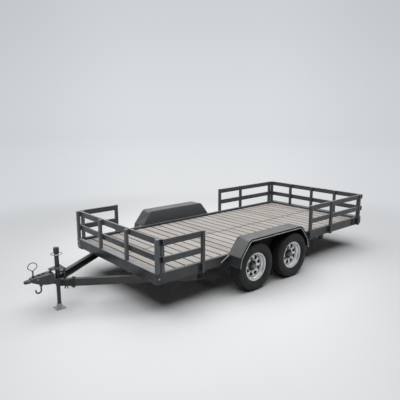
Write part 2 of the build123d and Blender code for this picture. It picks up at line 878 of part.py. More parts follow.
def make_fender():
    """A folded tandem fender with a back plate and a turned-down outer lip."""
    centre_x = front_x - axle_centre
    sheet = extrude(fender_band(fender_sheet), fender_width, dir=(0, 1, 0))
    lip = Pos(0, fender_width - fender_sheet, 0) * extrude(fender_band(fender_lip), fender_sheet,
                                                           dir=(0, 1, 0))
    outer = fender_line(0)
    back = extrude(make_face([*outer.edges(), *Line(outer @ 1, outer @ 0).edges()]),
                   fender_sheet, dir=(0, 1, 0))
    back &= block(-fender_end_half, fender_end_half, 0, fender_sheet,
                  frame_bottom + brace_margin, fender_top)
    return Pos(centre_x, half_width, 0) * (sheet + lip + back)


def make_brace(side):
    """A gusset between the side beam and one end of the fender."""
    x = front_x - axle_centre + side * (fender_fold_half - 2 * brace_thickness)
    root = half_width + fender_sheet
    outline = Polyline((x, root, frame_bottom + brace_margin), (x, root, brace_top),
                       (x, half_width + brace_reach, fender_fold_height - 4 * brace_margin),
                       close=True)
    return extrude(make_face(outline), brace_thickness, dir=(-side, 0, 0))


# Write every node -------------------------------------------------------------------

side_beam = make_side_beam()
save("side_beam_left", side_beam)
save("side_beam_right", mirror(side_beam, about=Plane.XZ))
save("front_beam", make_front_beam())
save("rear_beam", make_rear_beam())
save("cross_members", *make_cross_members())
save("deck_strips", *make_stringers())
save("deck_planks", *make_planks())

tongue = make_tongue()
save("tongue_left", tongue)
save("tongue_right", mirror(tongue, about=Plane.XZ))
save("coupler", make_coupler())
save("coupler_pin", make_coupler_pin())
save("safety_hook", make_safety_hook())
save("jack_plate", make_jack_plate())
save("jack_tube", make_jack_tube())
save("jack_ring", make_jack_ring())
save("jack_leg", make_jack_leg())
save("jack_foot", make_jack_foot())
save("jack_clamps", *both_sides(make_jack_clamp()))

save("front_posts", *make_front_posts())
save("front_rails", *crosswise_rails(front_rail_x - rail_thickness, front_rail_x, half_width))
save("side_posts", *make_side_posts())
save("side_rails", *make_side_rails())
save("rear_posts", *make_rear_posts())
save("rear_rails", *crosswise_rails(rear_rail_x, rear_rail_x + rail_thickness, rail_outer_y))

fender = make_fender()
save("fender_left", fender)
save("fender_right", mirror(fender, about=Plane.XZ))
braces = [shape for end in (-1, 1) for shape in both_sides(make_brace(end))]
save("fender_braces", *braces)

axle = make_axle()
spring = make_spring()
tyre = make_tyre()
rim = make_rim()
hub = make_hub()
springs = []
plates = []
for end, axle_x in axle_xs.items():
    save(f"axle_{end}", Pos(axle_x, 0, tyre_radius) * axle)
    springs += both_sides(Pos(axle_x, spring_y, 0) * spring)
    plates += both_sides(make_tie_plate(axle_x))
    left_wheel = Pos(axle_x, wheel_y, tyre_radius)
    for name, piece in (("tyre", tyre), ("rim", rim), ("hub", hub)):
        placed = left_wheel * piece
        save(f"{name}_{end}_left", placed)
        save(f"{name}_{end}_right", mirror(placed, about=Plane.XZ))
save("leaf_springs", *springs)
save("tie_plates", *plates)

hangers = [*both_sides(make_hanger(axle_xs["front"] + spring_half_length)),
           *both_sides(make_hanger(axle_xs["rear"] - spring_half_length)),
           *both_sides(make_centre_hanger(front_x - axle_centre))]
save("spring_hangers", *hangers)
save("equalisers", *both_sides(make_equaliser(front_x - axle_centre)))
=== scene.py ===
import json
import math

import bmesh
import bpy
from mathutils import Matrix, Vector, noise


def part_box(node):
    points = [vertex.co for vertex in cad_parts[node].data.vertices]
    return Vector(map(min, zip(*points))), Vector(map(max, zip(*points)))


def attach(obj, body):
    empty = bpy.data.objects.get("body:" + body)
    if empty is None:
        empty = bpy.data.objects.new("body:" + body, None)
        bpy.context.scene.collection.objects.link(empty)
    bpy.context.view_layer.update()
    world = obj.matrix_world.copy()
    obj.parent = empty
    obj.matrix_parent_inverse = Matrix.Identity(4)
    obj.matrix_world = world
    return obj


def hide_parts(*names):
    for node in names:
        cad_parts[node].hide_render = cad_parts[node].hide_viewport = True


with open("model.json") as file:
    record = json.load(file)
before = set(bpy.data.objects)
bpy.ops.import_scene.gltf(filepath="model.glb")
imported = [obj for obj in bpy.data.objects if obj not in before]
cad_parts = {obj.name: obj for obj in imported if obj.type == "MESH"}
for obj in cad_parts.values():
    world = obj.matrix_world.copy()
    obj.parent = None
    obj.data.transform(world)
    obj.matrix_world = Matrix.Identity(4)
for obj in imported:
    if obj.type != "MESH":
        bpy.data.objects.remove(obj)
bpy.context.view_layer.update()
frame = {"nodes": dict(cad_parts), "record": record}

nodes = frame["nodes"]

# A tandem-axle utility trailer: charcoal painted steel, weathered plank deck, silver
# wheels and radial tyres. Metres, +X towards the coupler, +Y to the left, +Z up.


# Node helpers --------------------------------


def feed(tree, socket, value):
    """Feed a socket from another node's output, or set it to a plain value."""
    if isinstance(value, bpy.types.NodeSocket):
        tree.links.new(value, socket)
    elif value is not None:
        socket.default_value = value


def feed_inputs(tree, node, **inputs):
    """Feed several of a node's sockets, given by name."""
    for name, value in inputs.items():
        feed(tree, node.inputs[name.replace("_", " ")], value)


def add_node(tree, kind, **settings):
    """A node of one kind, with its properties set and its sockets fed by name."""
    node = tree.nodes.new(kind)
    for name, value in settings.items():
        if hasattr(node, name):
            setattr(node, name, value)
        else:
            feed_inputs(tree, node, **{name: value})
    return node


def vector_node(tree, operation, first, second=None, kind="ShaderNodeVectorMath"):
    """A Vector Math node over two sockets or triples; returns its outputs."""
    node = add_node(tree, kind, operation=operation)
    for socket, value in zip(node.inputs, (first, second)):
        feed(tree, socket, value)
    return node.outputs


def math_node(tree, operation, first, second=None, clamp=False):
    """A Math node over two sockets or numbers; returns its output."""
    result = vector_node(tree, operation, first, second, "ShaderNodeMath")[0]
    result.node.use_clamp = clamp
    return result


def place_on(tree, output="Object"):
    """Texture coordinates on the object, or another output of the same node."""
    return add_node(tree, "ShaderNodeTexCoord").outputs[output]


def split_axes(tree, vector):
    """The X, Y and Z parts of a vector."""
    return add_node(tree, "ShaderNodeSeparateXYZ", Vector=vector).outputs


def attribute(tree, name):
    """A number stored on the mesh."""
    return add_node(tree, "ShaderNodeAttribute", attribute_name=name).outputs["Fac"]


def ramp(tree, value, low, high, to_low=0.0, to_high=1.0):
    """The value remapped from one range to another, clamped and smoothed."""
    return add_node(tree, "ShaderNodeMapRange", interpolation_type="SMOOTHSTEP", Value=value,
                    From_Min=low, From_Max=high, To_Min=to_low,
                    To_Max=to_high).outputs["Result"]


def blend_colour(tree, mask, first, second, blend_type="MIX"):
    """Two colours, sockets or triples, mixed by a mask."""
    node = add_node(tree, "ShaderNodeMix", data_type="RGBA", blend_type=blend_type, Factor=mask)
    for name, colour in (("A", first), ("B", second)):
        socket = next(s for s in node.inputs if s.name == name and s.type == "RGBA")
        feed(tree, socket, (*colour, 1.0) if isinstance(colour, tuple) else colour)
    return next(s for s in node.outputs if s.type == "RGBA")


def colour_stops(tree, value, interpolation, stops):
    """The colour at a value, between stops that each give a position and a colour."""
    node = add_node(tree, "ShaderNodeValToRGB", Fac=value)
    node.color_ramp.interpolation = interpolation
    elements = node.color_ramp.elements
    while len(elements) < len(stops):
        elements.new(0.5)
    for element, (position, colour) in zip(elements, stops):
        element.position = position
        element.color = (*colour, 1.0)
    return node.outputs["Color"]


def noise_texture(tree, vector, scale, detail, roughness, stretch=None):
    """Noise over a vector, stretched along an axis where a triple is given."""
    if stretch:
        vector = add_node(tree, "ShaderNodeMapping", Scale=stretch, Vector=vector).outputs[0]
    return add_node(tree, "ShaderNodeTexNoise", Vector=vector, Scale=scale, Detail=detail,
                    Roughness=roughness).outputs["Fac"]


def bump(tree, height, distance, strength, normal=None):
    """A Bump node over a height; returns its normal."""
    return add_node(tree, "ShaderNodeBump", Strength=strength, Distance=distance, Height=height,
                    Normal=normal).outputs["Normal"]


# Shared effects ------------------------------


def start_group(name, inputs, outputs):
    """A shader node group with float inputs and typed outputs; returns both ends too."""
    tree = bpy.data.node_groups.new(name, "ShaderNodeTree")
    for label, value in inputs.items():
        socket = tree.interface.new_socket(label, in_out="INPUT", socket_type="NodeSocketFloat")
        socket.default_value = value
    for label, kind in outputs.items():
        tree.interface.new_socket(label, in_out="OUTPUT", socket_type="NodeSocket" + kind)
    given = tree.nodes.new("NodeGroupInput").outputs
    return tree, given, tree.nodes.new("NodeGroupOutput")


def make_rounded_edges():
    """Softened corners and a mask along them of worn paint, in some paints also a painted edge
    highlight.
    """
    tree, given, result = start_group("rounded edges", {"Radius": 0.003, "Wear Scale": 9.0},
                                      {"Wear": "Float", "Normal": "Vector"})
    soft = add_node(tree, "ShaderNodeBevel", samples=6, Radius=given["Radius"]).outputs["Normal"]
    flat = add_node(tree, "ShaderNodeNewGeometry").outputs["Normal"]
    turned = ramp(tree, vector_node(tree, "DOT_PRODUCT", soft, flat)["Value"], 0.995, 0.9)
    cloud = noise_texture(tree, place_on(tree), given["Wear Scale"], 5.0, 0.65)
    wear = math_node(tree, "MULTIPLY", turned, ramp(tree, cloud, 0.48, 0.66))
    feed_inputs(tree, result, Wear=wear, Normal=soft)
    return tree


def make_dust_and_top_light_effect():
    """A mask of the dust that settles on upward faces, thicker in patches; where heavy, it also
    paints light on the tops.
    """
    tree, given, result = start_group("settled dust and painted top light", {"Amount": 0.5, "Patch Scale": 3.0},
                                      {"Mask": "Float"})
    upward = ramp(tree, split_axes(tree, place_on(tree, "Normal"))["Z"], 0.25, 0.95)
    cloud = noise_texture(tree, place_on(tree), given["Patch Scale"], 6.0, 0.6)
    dust = math_node(tree, "MULTIPLY", upward, ramp(tree, cloud, 0.3, 0.75, 0.55, 1.0))
    feed_inputs(tree, result, Mask=math_node(tree, "MULTIPLY", dust, given["Amount"], True))
    return tree


def make_mottle():
    """Uneven patches at two scales, for colour and gloss that vary over a surface."""
    tree, given, result = start_group("mottle", {"Scale": 6.0, "Fine Scale": 90.0},
                                      {"Broad": "Float", "Fine": "Float"})
    place = place_on(tree)
    broad = ramp(tree, noise_texture(tree, place, given["Scale"], 5.0, 0.6), 0.3, 0.7)
    fine = noise_texture(tree, place, given["Fine Scale"], 2.0, 0.5)
    feed_inputs(tree, result, Broad=broad, Fine=fine)
    return tree


def make_road_spray():
    """A mask of the dried spray thrown up low on the trailer, fading with height."""
    tree, given, result = start_group("road spray", {"Height": 0.5, "Amount": 0.4},
                                      {"Mask": "Float"})
    place = place_on(tree)
    low = ramp(tree, split_axes(tree, place)["Z"], given["Height"], 0.0)
    specks = ramp(tree, noise_texture(tree, place, 14.0, 8.0, 0.7), 0.4, 0.68)
    spray = math_node(tree, "MULTIPLY", low, specks)
    feed_inputs(tree, result, Mask=math_node(tree, "MULTIPLY", spray, given["Amount"], True))
    return tree


rounded_edges = make_rounded_edges()
dust_and_top_light_effect = make_dust_and_top_light_effect()
mottle = make_mottle()
road_spray = make_road_spray()


def use_group(tree, group, **values):
    """A shared effect placed in a material with its own values; returns its outputs."""
    node = add_node(tree, "ShaderNodeGroup", node_tree=group)
    feed_inputs(tree, node, **values)
    return node.outputs


def start_material(name, colour, roughness, metallic=0.0, **surface):
    """A material with a Principled BSDF; returns the material, its tree and the shader."""
    material = bpy.data.materials.new(name)
    material.use_nodes = True
    material.diffuse_color = (*colour, 1.0)
    tree = material.node_tree
    shader = next(n for n in tree.nodes if n.type == "BSDF_PRINCIPLED")
    feed_inputs(tree, shader, Base_Color=(*colour, 1.0), Roughness=roughness, Metallic=metallic,
                **surface)
    return material, tree, shader


# Finishes ------------------------------------

spray_tint = (0.16, 0.155, 0.145)
# Dust colour; on heavily dusted tops it is also painted light.
dust_and_top_light_tint = (0.36, 0.36, 0.35)


def shaded(colour, share):
    """A colour made darker or lighter by a share, never past white."""
    return tuple(min(1.0, c * share) for c in colour)


def painted_steel(name, colour, worn, roughness, dust_and_top_light_amount, edge_radius=0.003, coat=0.2):
    """Sprayed paint on steel: orange peel, worn corners, dust on top and road spray; bright wear
    and heavy dust also paint edge highlights and light on the tops.
    """
    material, tree, shader = start_material(name, colour, roughness, Coat_Roughness=0.25,
                                            Coat_Weight=coat)
    edges = use_group(tree, rounded_edges, Radius=edge_radius)
    patches = use_group(tree, mottle, Scale=5.0, Fine_Scale=160.0)
    # Dust mask; where heavy, it also paints light on the tops.
    dust = use_group(tree, dust_and_top_light_effect, Amount=dust_and_top_light_amount)["Mask"]
    spray = use_group(tree, road_spray, Height=0.62, Amount=0.2)["Mask"]
    paint = blend_colour(tree, patches["Broad"], shaded(colour, 0.78), colour)
    # Worn edges, spray and dust; bright worn colours also paint edge highlights.
    for mask, tint in ((edges["Wear"], worn), (spray, spray_tint), (dust, dust_and_top_light_tint)):
        paint = blend_colour(tree, mask, paint, tint)
    gloss = ramp(tree, patches["Broad"], 0.0, 1.0, roughness + 0.08, roughness - 0.05)
    gloss = math_node(tree, "ADD", gloss, math_node(tree, "MULTIPLY", dust, 0.3), True)
    feed_inputs(tree, shader, Base_Color=paint, Roughness=gloss,
                Normal=bump(tree, patches["Fine"], 0.0006, 0.12, edges["Normal"]))
    return material


def bare_metal(name, colour, roughness, metallic, edge_radius=0.0015):
    """Plain, plated or enamelled metal with stains, fine scratches and softened corners."""
    material, tree, shader = start_material(name, colour, roughness, metallic)
    edges = use_group(tree, rounded_edges, Radius=edge_radius, Wear_Scale=30.0)
    patches = use_group(tree, mottle, Scale=22.0, Fine_Scale=400.0)
    metal = blend_colour(tree, patches["Broad"], shaded(colour, 0.55), colour)
    metal = blend_colour(tree, edges["Wear"], metal, shaded(colour, 1.6))
    gloss = ramp(tree, patches["Fine"], 0.3, 0.7, roughness - 0.08, roughness + 0.12)
    feed_inputs(tree, shader, Base_Color=metal, Roughness=gloss,
                Normal=bump(tree, patches["Fine"], 0.0004, 0.15, edges["Normal"]))
    return material


# How scuffed a tyre is, from its bead to the middle of its tread.
tyre_scuffs = ((0.0, 0.35), (0.10, 0.9), (0.17, 0.1), (0.40, 0.25), (0.455, 1.0), (0.50, 0.2),
               (0.66, 0.05), (0.72, 0.75), (0.78, 0.1), (0.90, 0.45), (1.0, 0.6))


def tyre_rubber():
    """Matt black rubber, scuffed grey on the raised rings and dusty in the tread."""
    material, tree, shader = start_material("tyre rubber", (0.020, 0.020, 0.021), 0.62,
                                            Specular_IOR_Level=0.3)
    patches = use_group(tree, mottle, Scale=18.0, Fine_Scale=500.0)
    spray = use_group(tree, road_spray, Height=0.5, Amount=0.16)["Mask"]
    rings = colour_stops(tree, attribute(tree, "reach"), "EASE",
                         [(reach, (scuff, scuff, scuff)) for reach, scuff in tyre_scuffs])
    black = blend_colour(tree, patches["Broad"], (0.014, 0.014, 0.0145), (0.024, 0.024, 0.0245))
    black = blend_colour(tree, math_node(tree, "MULTIPLY", rings, 0.8), black,
                         (0.052, 0.051, 0.052))
    black = blend_colour(tree, spray, black, (0.10, 0.096, 0.09))
    feed_inputs(tree, shader, Base_Color=black,
                Roughness=ramp(tree, patches["Broad"], 0.0, 1.0, 0.50, 0.72),
                Normal=bump(tree, patches["Fine"], 0.0005, 0.25))
    return material


def wheel_silver():
    """Silver wheel paint, a little duller in patches, under a clear coat."""
    material, tree, shader = start_material("silver wheel paint", (0.78, 0.785, 0.79), 0.3, 0.7,
                                            Coat_Weight=0.4, Coat_Roughness=0.12)
    edges = use_group(tree, rounded_edges, Radius=0.0025, Wear_Scale=40.0)
    broad = use_group(tree, mottle, Scale=14.0)["Broad"]
    feed_inputs(tree, shader, Roughness=ramp(tree, broad, 0.0, 1.0, 0.36, 0.28),
                Base_Color=blend_colour(tree, broad, (0.68, 0.685, 0.69), (0.83, 0.835, 0.84)),
                Normal=edges["Normal"])
    return material


# The tints of the deck boards, spread over the tones that are drawn for them.
board_tints = ((0.0, (0.40, 0.375, 0.36)), (0.25, (0.50, 0.49, 0.48)), (0.5, (0.51, 0.465, 0.44)),
               (0.75, (0.455, 0.425, 0.39)), (1.0, (0.53, 0.525, 0.52)))


def weathered_planks(first_edge, pitch):
    """Sun-bleached softwood boards: grain along Y, tints by board, dirty joints, and painted shade
    on every face not turned up.
    """
    material, tree, shader = start_material("weathered planks", (0.50, 0.46, 0.42), 0.8)
    place = place_on(tree)
    split = split_axes(tree, place)
    tone = attribute(tree, "board_tone")
    shift = add_node(tree, "ShaderNodeCombineXYZ", X=math_node(tree, "MULTIPLY", tone, 7.0),
                     Y=math_node(tree, "MULTIPLY", tone, 31.0)).outputs[0]
    own = vector_node(tree, "ADD", place, shift)["Vector"]
    grain = noise_texture(tree, own, 1.0, 8.0, 0.62, (95.0, 2.2, 60.0))
    streaks = noise_texture(tree, own, 1.0, 4.0, 0.5, (24.0, 1.1, 10.0))
    stains = noise_texture(tree, own, 3.2, 5.0, 0.6)
    wood = colour_stops(tree, tone, "LINEAR", board_tints)
    for marks, low, high, most, tint in ((streaks, 0.35, 0.7, 0.5, (0.42, 0.375, 0.34)),
                                         (grain, 0.50, 0.70, 0.62, (0.25, 0.215, 0.19)),
                                         (stains, 0.55, 0.8, 0.45, (0.34, 0.315, 0.30))):
        wood = blend_colour(tree, ramp(tree, marks, low, high, 0.0, most), wood, tint)
    across = math_node(tree, "SUBTRACT", split["X"], first_edge)
    joint = ramp(tree, math_node(tree, "PINGPONG", across, pitch / 2), 0.019, 0.007)
    ragged = ramp(tree, noise_texture(tree, place, 26.0, 4.0, 0.6), 0.3, 0.62, 0.55, 1.0)
    seam = ramp(tree, math_node(tree, "ABSOLUTE", split["Y"]), 0.02, 0.002, 0.0, 0.8)
    # Painted shade: every board face not turned up, sides, ends and undersides, is darkened.
    ends = ramp(tree, split_axes(tree, place_on(tree, "Normal"))["Z"], 0.7, 0.2)
    dirt_and_shade = math_node(tree, "MULTIPLY", joint, ragged)
    for more in (seam, ends):
        dirt_and_shade = math_node(tree, "MAXIMUM", dirt_and_shade, more)
    height = math_node(tree, "ADD", grain, math_node(tree, "MULTIPLY", streaks, 0.6))
    feed_inputs(tree, shader, Base_Color=blend_colour(tree, dirt_and_shade, wood, (0.055, 0.042, 0.035)),
                Roughness=ramp(tree, grain, 0.3, 0.7, 0.72, 0.9),
                Normal=bump(tree, height, 0.0015, 0.5))
    return material


def lamp_lens():
    """Red lamp plastic, ribbed inside and dusty on its face."""
    material, tree, shader = start_material("red lamp lens", (0.30, 0.012, 0.010), 0.22,
                                            Coat_Weight=0.6, Coat_Roughness=0.08)
    patches = use_group(tree, mottle, Scale=30.0, Fine_Scale=300.0)
    ribs = add_node(tree, "ShaderNodeTexWave", bands_direction="Y", Scale=90.0, Distortion=0.0,
                    Vector=place_on(tree)).outputs["Fac"]
    red = blend_colour(tree, patches["Broad"], (0.24, 0.010, 0.009), (0.36, 0.018, 0.014))
    red = blend_colour(tree, ramp(tree, ribs, 0.3, 0.8, 0.0, 0.5), red, (0.14, 0.006, 0.006))
    feed_inputs(tree, shader, Base_Color=red, Normal=bump(tree, ribs, 0.0006, 0.3),
                Roughness=ramp(tree, patches["Fine"], 0.3, 0.7, 0.18, 0.34))
    return material


# Paints: name, colour, worn colour and edge highlight, roughness, dust and top light; then edge
# radius and coat.
charcoal = painted_steel("charcoal frame paint", (0.040, 0.043, 0.047), (0.20, 0.20, 0.20), 0.42,
                         0.35)
# Painted highlight: the rails' bright worn edges and heavy dust also paint the light along their
# tops.
guard_grey = painted_steel("guard rail paint", (0.070, 0.074, 0.081), (0.34, 0.34, 0.34), 0.42,
                           0.9, 0.004)
fender_grey = painted_steel("fender paint", (0.033, 0.035, 0.038), (0.34, 0.34, 0.34), 0.36, 0.26,
                            0.004, 0.35)
black_gear = painted_steel("black running gear paint", (0.020, 0.020, 0.021), (0.14, 0.12, 0.10),
                           0.55, 0.2, 0.002, 0.0)
post_grey = painted_steel("front post paint", (0.160, 0.170, 0.190), (0.40, 0.40, 0.41), 0.4, 0.8,
                          0.004)
# Painted highlight: the tongue's worn edges also paint the light line along its top edge.
tongue_paint = painted_steel("tongue paint", (0.030, 0.032, 0.035), (0.26, 0.26, 0.26), 0.42, 0.16,
                             0.004)
coupler_paint = painted_steel("coupler paint", (0.045, 0.048, 0.052), (0.2, 0.2, 0.2), 0.42, 0.15)
# Painted light: the sill is pale to stand for the lit top of the front beam.
pale_sill_top_light = painted_steel("front sill steel as top light", (0.40, 0.415, 0.44), (0.52, 0.53, 0.54), 0.5, 0.35)
# Painted light: the heavy dust on the front beam also paints the light on its top face.
front_beam_paint = painted_steel("front beam paint", (0.023, 0.025, 0.029), (0.26, 0.26, 0.27),
                                 0.42, 1.1, 0.004)
# Painted light: the rear beam gets a lighter copy of the frame paint, as if lit.
rear_beam_lit_paint = painted_steel("rear beam paint lightened as lit", (0.085, 0.09, 0.097), (0.3, 0.3, 0.3), 0.42, 0.25)
jack_black = painted_steel("jack paint", (0.035, 0.037, 0.04), (0.18, 0.18, 0.18), 0.38, 0.1)

# Metals: name, colour, roughness, metallic; then edge radius.
dark_steel = bare_metal("dull dark steel", (0.13, 0.135, 0.14), 0.42, 0.75)
zinc = bare_metal("zinc plated bolts", (0.52, 0.53, 0.53), 0.34, 0.95)
foot_steel = bare_metal("worn galvanised foot", (0.50, 0.51, 0.51), 0.42, 0.4, 0.003)
# Painted highlight: the fender's rolled edge is made bright to stand for the light along it.
rolled_edge_highlight = bare_metal("rolled edge highlight", (0.62, 0.63, 0.64), 0.42, 0.3)
hub_black = bare_metal("dark hub enamel", (0.016, 0.016, 0.017), 0.45, 0.1)
# Painted shade: the drums are near black, as the shade seen through the wheel windows.
drum_black_shade = bare_metal("sooted drum iron and shade", (0.006, 0.006, 0.006), 0.9, 0.0)
# Black underseal, also used as painted shade on the fenders' lip faces.
lip_shade_and_underseal = bare_metal("black underseal", (0.009, 0.009, 0.009), 0.85, 0.0)
cap_steel = bare_metal("grease cap steel", (0.26, 0.265, 0.27), 0.38, 0.7)
rusty_screw = bare_metal("weathered screws", (0.11, 0.075, 0.055), 0.6, 0.5)

lamp_red = lamp_lens()
rubber = tyre_rubber()
silver = wheel_silver()


# Mesh helpers --------------------------------

sides = {"left": 1, "right": -1}
wheel_places = [f"{end}_{side}" for end in ("front", "rear") for side in sides]


def finish_piece(name, bm, material, body="trailer", sharp_angle=35.0):
    """Write a bmesh as a piece that rides on a body, smooth except at sharp edges."""
    bmesh.ops.recalc_face_normals(bm, faces=bm.faces)
    mesh = bpy.data.meshes.new(name)
    bm.to_mesh(mesh)
    bm.free()
    mesh.shade_smooth()
    mesh.set_sharp_from_angle(angle=math.radians(sharp_angle))
    mesh.materials.append(material)
    piece = bpy.data.objects.new(name, mesh)
    bpy.context.scene.collection.objects.link(piece)
    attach(piece, body)
    return piece


def cad_copy(node):
    """A bmesh of a CAD node with its doubled vertices joined."""
    bm = bmesh.new()
    bm.from_mesh(nodes[node].data)
    bmesh.ops.remove_doubles(bm, verts=bm.verts, dist=1e-5)
    return bm


def outer_side(low, high):
    """Which way a piece's outer side faces in Y, and where its outer and inner sides are."""
    return (1, high.y, low.y) if high.y > 0 else (-1, low.y, high.y)


def bevel_edges(bm, edges, offset, segments):
    """Round some edges of a shape."""
    bmesh.ops.bevel(bm, geom=edges, offset=offset, offset_type="OFFSET", segments=segments,
                    profile=0.5, affect="EDGES", material=-1)


def cut_along(bm, axis, places):
    """Cut a shape by planes square to an axis at these places."""
    normal = Vector([float(k == axis) for k in range(3)])
    for place in places:
        bmesh.ops.bisect_plane(bm, geom=bm.verts[:] + bm.edges[:] + bm.faces[:], dist=1e-6,
                               plane_co=normal * place, plane_no=normal)


def stood_along(place, along):
    """A placement whose own Z axis points along a direction."""
    return Matrix.Translation(place) @ along.to_track_quat("Z", "Y").to_matrix().to_4x4()


def add_block(bm, first, second, bevel=0.0, segments=2, turn=None):
    """A block between two opposite corners, with rounded edges where a bevel is given."""
    low, high = (Vector(map(pick, zip(first, second))) for pick in (min, max))
    place = Matrix.Translation((low + high) / 2)
    if turn is not None:
        place = place @ turn
    made = bmesh.ops.create_cube(bm, size=1.0,
                                 matrix=place @ Matrix.Diagonal((*(high - low), 1.0)))
    if bevel:
        bevel_edges(bm, list({e for v in made["verts"] for e in v.link_edges}), bevel, segments)


def add_rod(bm, start, end, radius, segments=16, end_radius=None):
    """A closed rod or cone between two points."""
    start, end = Vector(start), Vector(end)
    return bmesh.ops.create_cone(
        bm, cap_ends=True, segments=segments, radius1=radius,
        radius2=radius if end_radius is None else end_radius, depth=(end - start).length,
        matrix=stood_along((start + end) / 2, end - start))["verts"]


def spin_chain(bm, points, centre, axis, steps, closed=False):
    """Turn a chain of points all the way round an axis, as an open or a closed chain."""
    before = set(bm.verts)
    verts = [bm.verts.new(p) for p in points]
    edges = [bm.edges.new(pair) for pair in zip(verts, verts[1:] + verts[:1] * closed)]
    bmesh.ops.spin(bm, geom=verts + edges, cent=centre, axis=axis, dvec=(0, 0, 0),
                   angle=2 * math.pi, steps=steps, use_merge=True, use_duplicate=False)
    bmesh.ops.remove_doubles(bm, verts=[v for v in bm.verts if v not in before], dist=1e-6)
    bmesh.ops.recalc_face_normals(bm, faces=bm.faces)


def add_turned(bm, foot, axis, shape, steps=24, closed=False):
    """A shape turned about an axis, given as radius and height, pole to pole or closed."""
    foot, axis = Vector(foot), Vector(axis).normalized()
    out = axis.orthogonal().normalized()
    spin_chain(bm, [foot + out * radius + axis * height for radius, height in shape], foot, axis,
               steps, closed)


def add_ring(bm, centre, axis, inner, outer, low, high, steps=32):
    """A flat ring between two radii, with its outer corner eased."""
    ease = min(high - low, outer - inner) / 4
    add_turned(bm, centre, axis, [(inner, low), (outer, low), (outer, high - ease),
                                  (outer - ease, high), (inner, high)], steps, True)


def add_bolt(bm, foot, axis, size=0.010, washer=True):
    """A chamfered hexagon head, standing on a washer where one is wanted."""
    foot, axis = Vector(foot), Vector(axis).normalized()
    sunk, washer_height, washer_radius = 0.0003, 0.002, size * 1.4
    height, chamfer = size * 0.75, size * 0.14
    if washer:
        add_rod(bm, foot - axis * sunk, foot + axis * washer_height, washer_radius, 20)
        foot = foot + axis * washer_height
    head = add_rod(bm, foot - axis * sunk, foot + axis * height, size, 6)
    rim = [e for e in {e for v in head for e in v.link_edges}
           if all((v.co - foot).dot(axis) > height / 2 for v in e.verts)]
    bevel_edges(bm, rim, chamfer, 1)


def start_growing(bm, place, along, radius, segments):
    """The first end face of a rod that is grown leg by leg."""
    ring = bmesh.ops.create_circle(bm, cap_ends=True, segments=segments, radius=radius,
                                   matrix=stood_along(place, along))["verts"]
    return ring[0].link_faces[0]


def grow(bm, end, foot):
    """Extrude a rod's end face, leaving no face inside; returns the new end face."""
    made = bmesh.ops.extrude_face_region(bm, geom=[end])["geom"]
    if end is not foot:
        bm.faces.remove(end)
    return next(f for f in made if isinstance(f, bmesh.types.BMFace))


def add_bent_rod(bm, points, radius, segments=10):
    """A closed rod that follows a chain of points, mitred where it turns."""
    points = [Vector(p) for p in points]
    legs = [(b - a).normalized() for a, b in zip(points, points[1:])]
    end = foot = start_growing(bm, points[0], legs[0], radius, segments)
    for leg, after, point in zip(legs, legs[1:] + legs[-1:], points[1:]):
        mitre = (leg + after).normalized()
        end = grow(bm, end, foot)
        for vert in end.verts:
            vert.co += leg * ((point - vert.co).dot(mitre) / leg.dot(mitre))


def add_weld(bm, start, end, radius=0.0035):
    """A rippled weld bead between two points, thinner at its ends."""
    start, end = Vector(start), Vector(end)
    along = end - start
    thin, thick, dip, ripple_length = 0.55, 1.08, 0.86, 0.007
    tip = foot = start_growing(bm, start, along, radius * thin, 6)
    ripples = max(3, int(along.length / ripple_length))
    for step in range(1, ripples + 1):
        middle = tip.calc_center_median()
        tip = grow(bm, tip, foot)
        swell = thin if step == ripples else (thick if step % 2 else dip)
        for vert in tip.verts:
            vert.co = (start + along * (step / ripples)
                       + (vert.co - middle).normalized() * radius * swell)


def solid_boxes(node):
    """The lowest and highest corner of each separate solid of a CAD node, along X."""
    bm = cad_copy(node)
    waiting, boxes = set(bm.verts), []
    while waiting:
        found, island = [waiting.pop()], []
        while found:
            vert = found.pop()
            island.append(vert.co.copy())
            for edge in vert.link_edges:
                other = edge.other_vert(vert)
                if other in waiting:
                    waiting.discard(other)
                    found.append(other)
        boxes.append((Vector(map(min, zip(*island))), Vector(map(max, zip(*island)))))
    bm.free()
    return sorted(boxes, key=lambda box: tuple(round(c, 5) for c in box[0]))


# Tyres ---------------------------------------

tread_steps = 240
slot_every = 4
groove_depth = 0.007
slot_depth = 0.0045
sidewall_height = 0.1535
crown_drop = 0.0028
tread_drop = 0.0065
shoulder_drop = 0.019
shoulder_from = 0.8

# Half of a tyre's skin: height over the bead and share of the half width; and the edges
# of the grooves across the crown, as shares of the half width.
sidewall = (
    (0.0, 0.665), (0.014, 0.665), (0.019, 0.735), (0.026, 0.82), (0.031, 0.845),
    (0.033, 0.875), (0.041, 0.905), (0.053, 0.962), (0.068, 0.985), (0.070, 0.998),
    (0.074, 0.998), (0.076, 0.985), (0.092, 0.972), (0.106, 0.948), (0.109, 0.955),
    (0.114, 0.946), (0.124, 0.915), (0.133, 0.885), (0.143, 0.845),
    (sidewall_height - 0.0055, 0.795), (sidewall_height - 0.0032, 0.735),
)
groove_edges = ((0.60, 0.56), (0.38, 0.34), (0.14, 0.10))


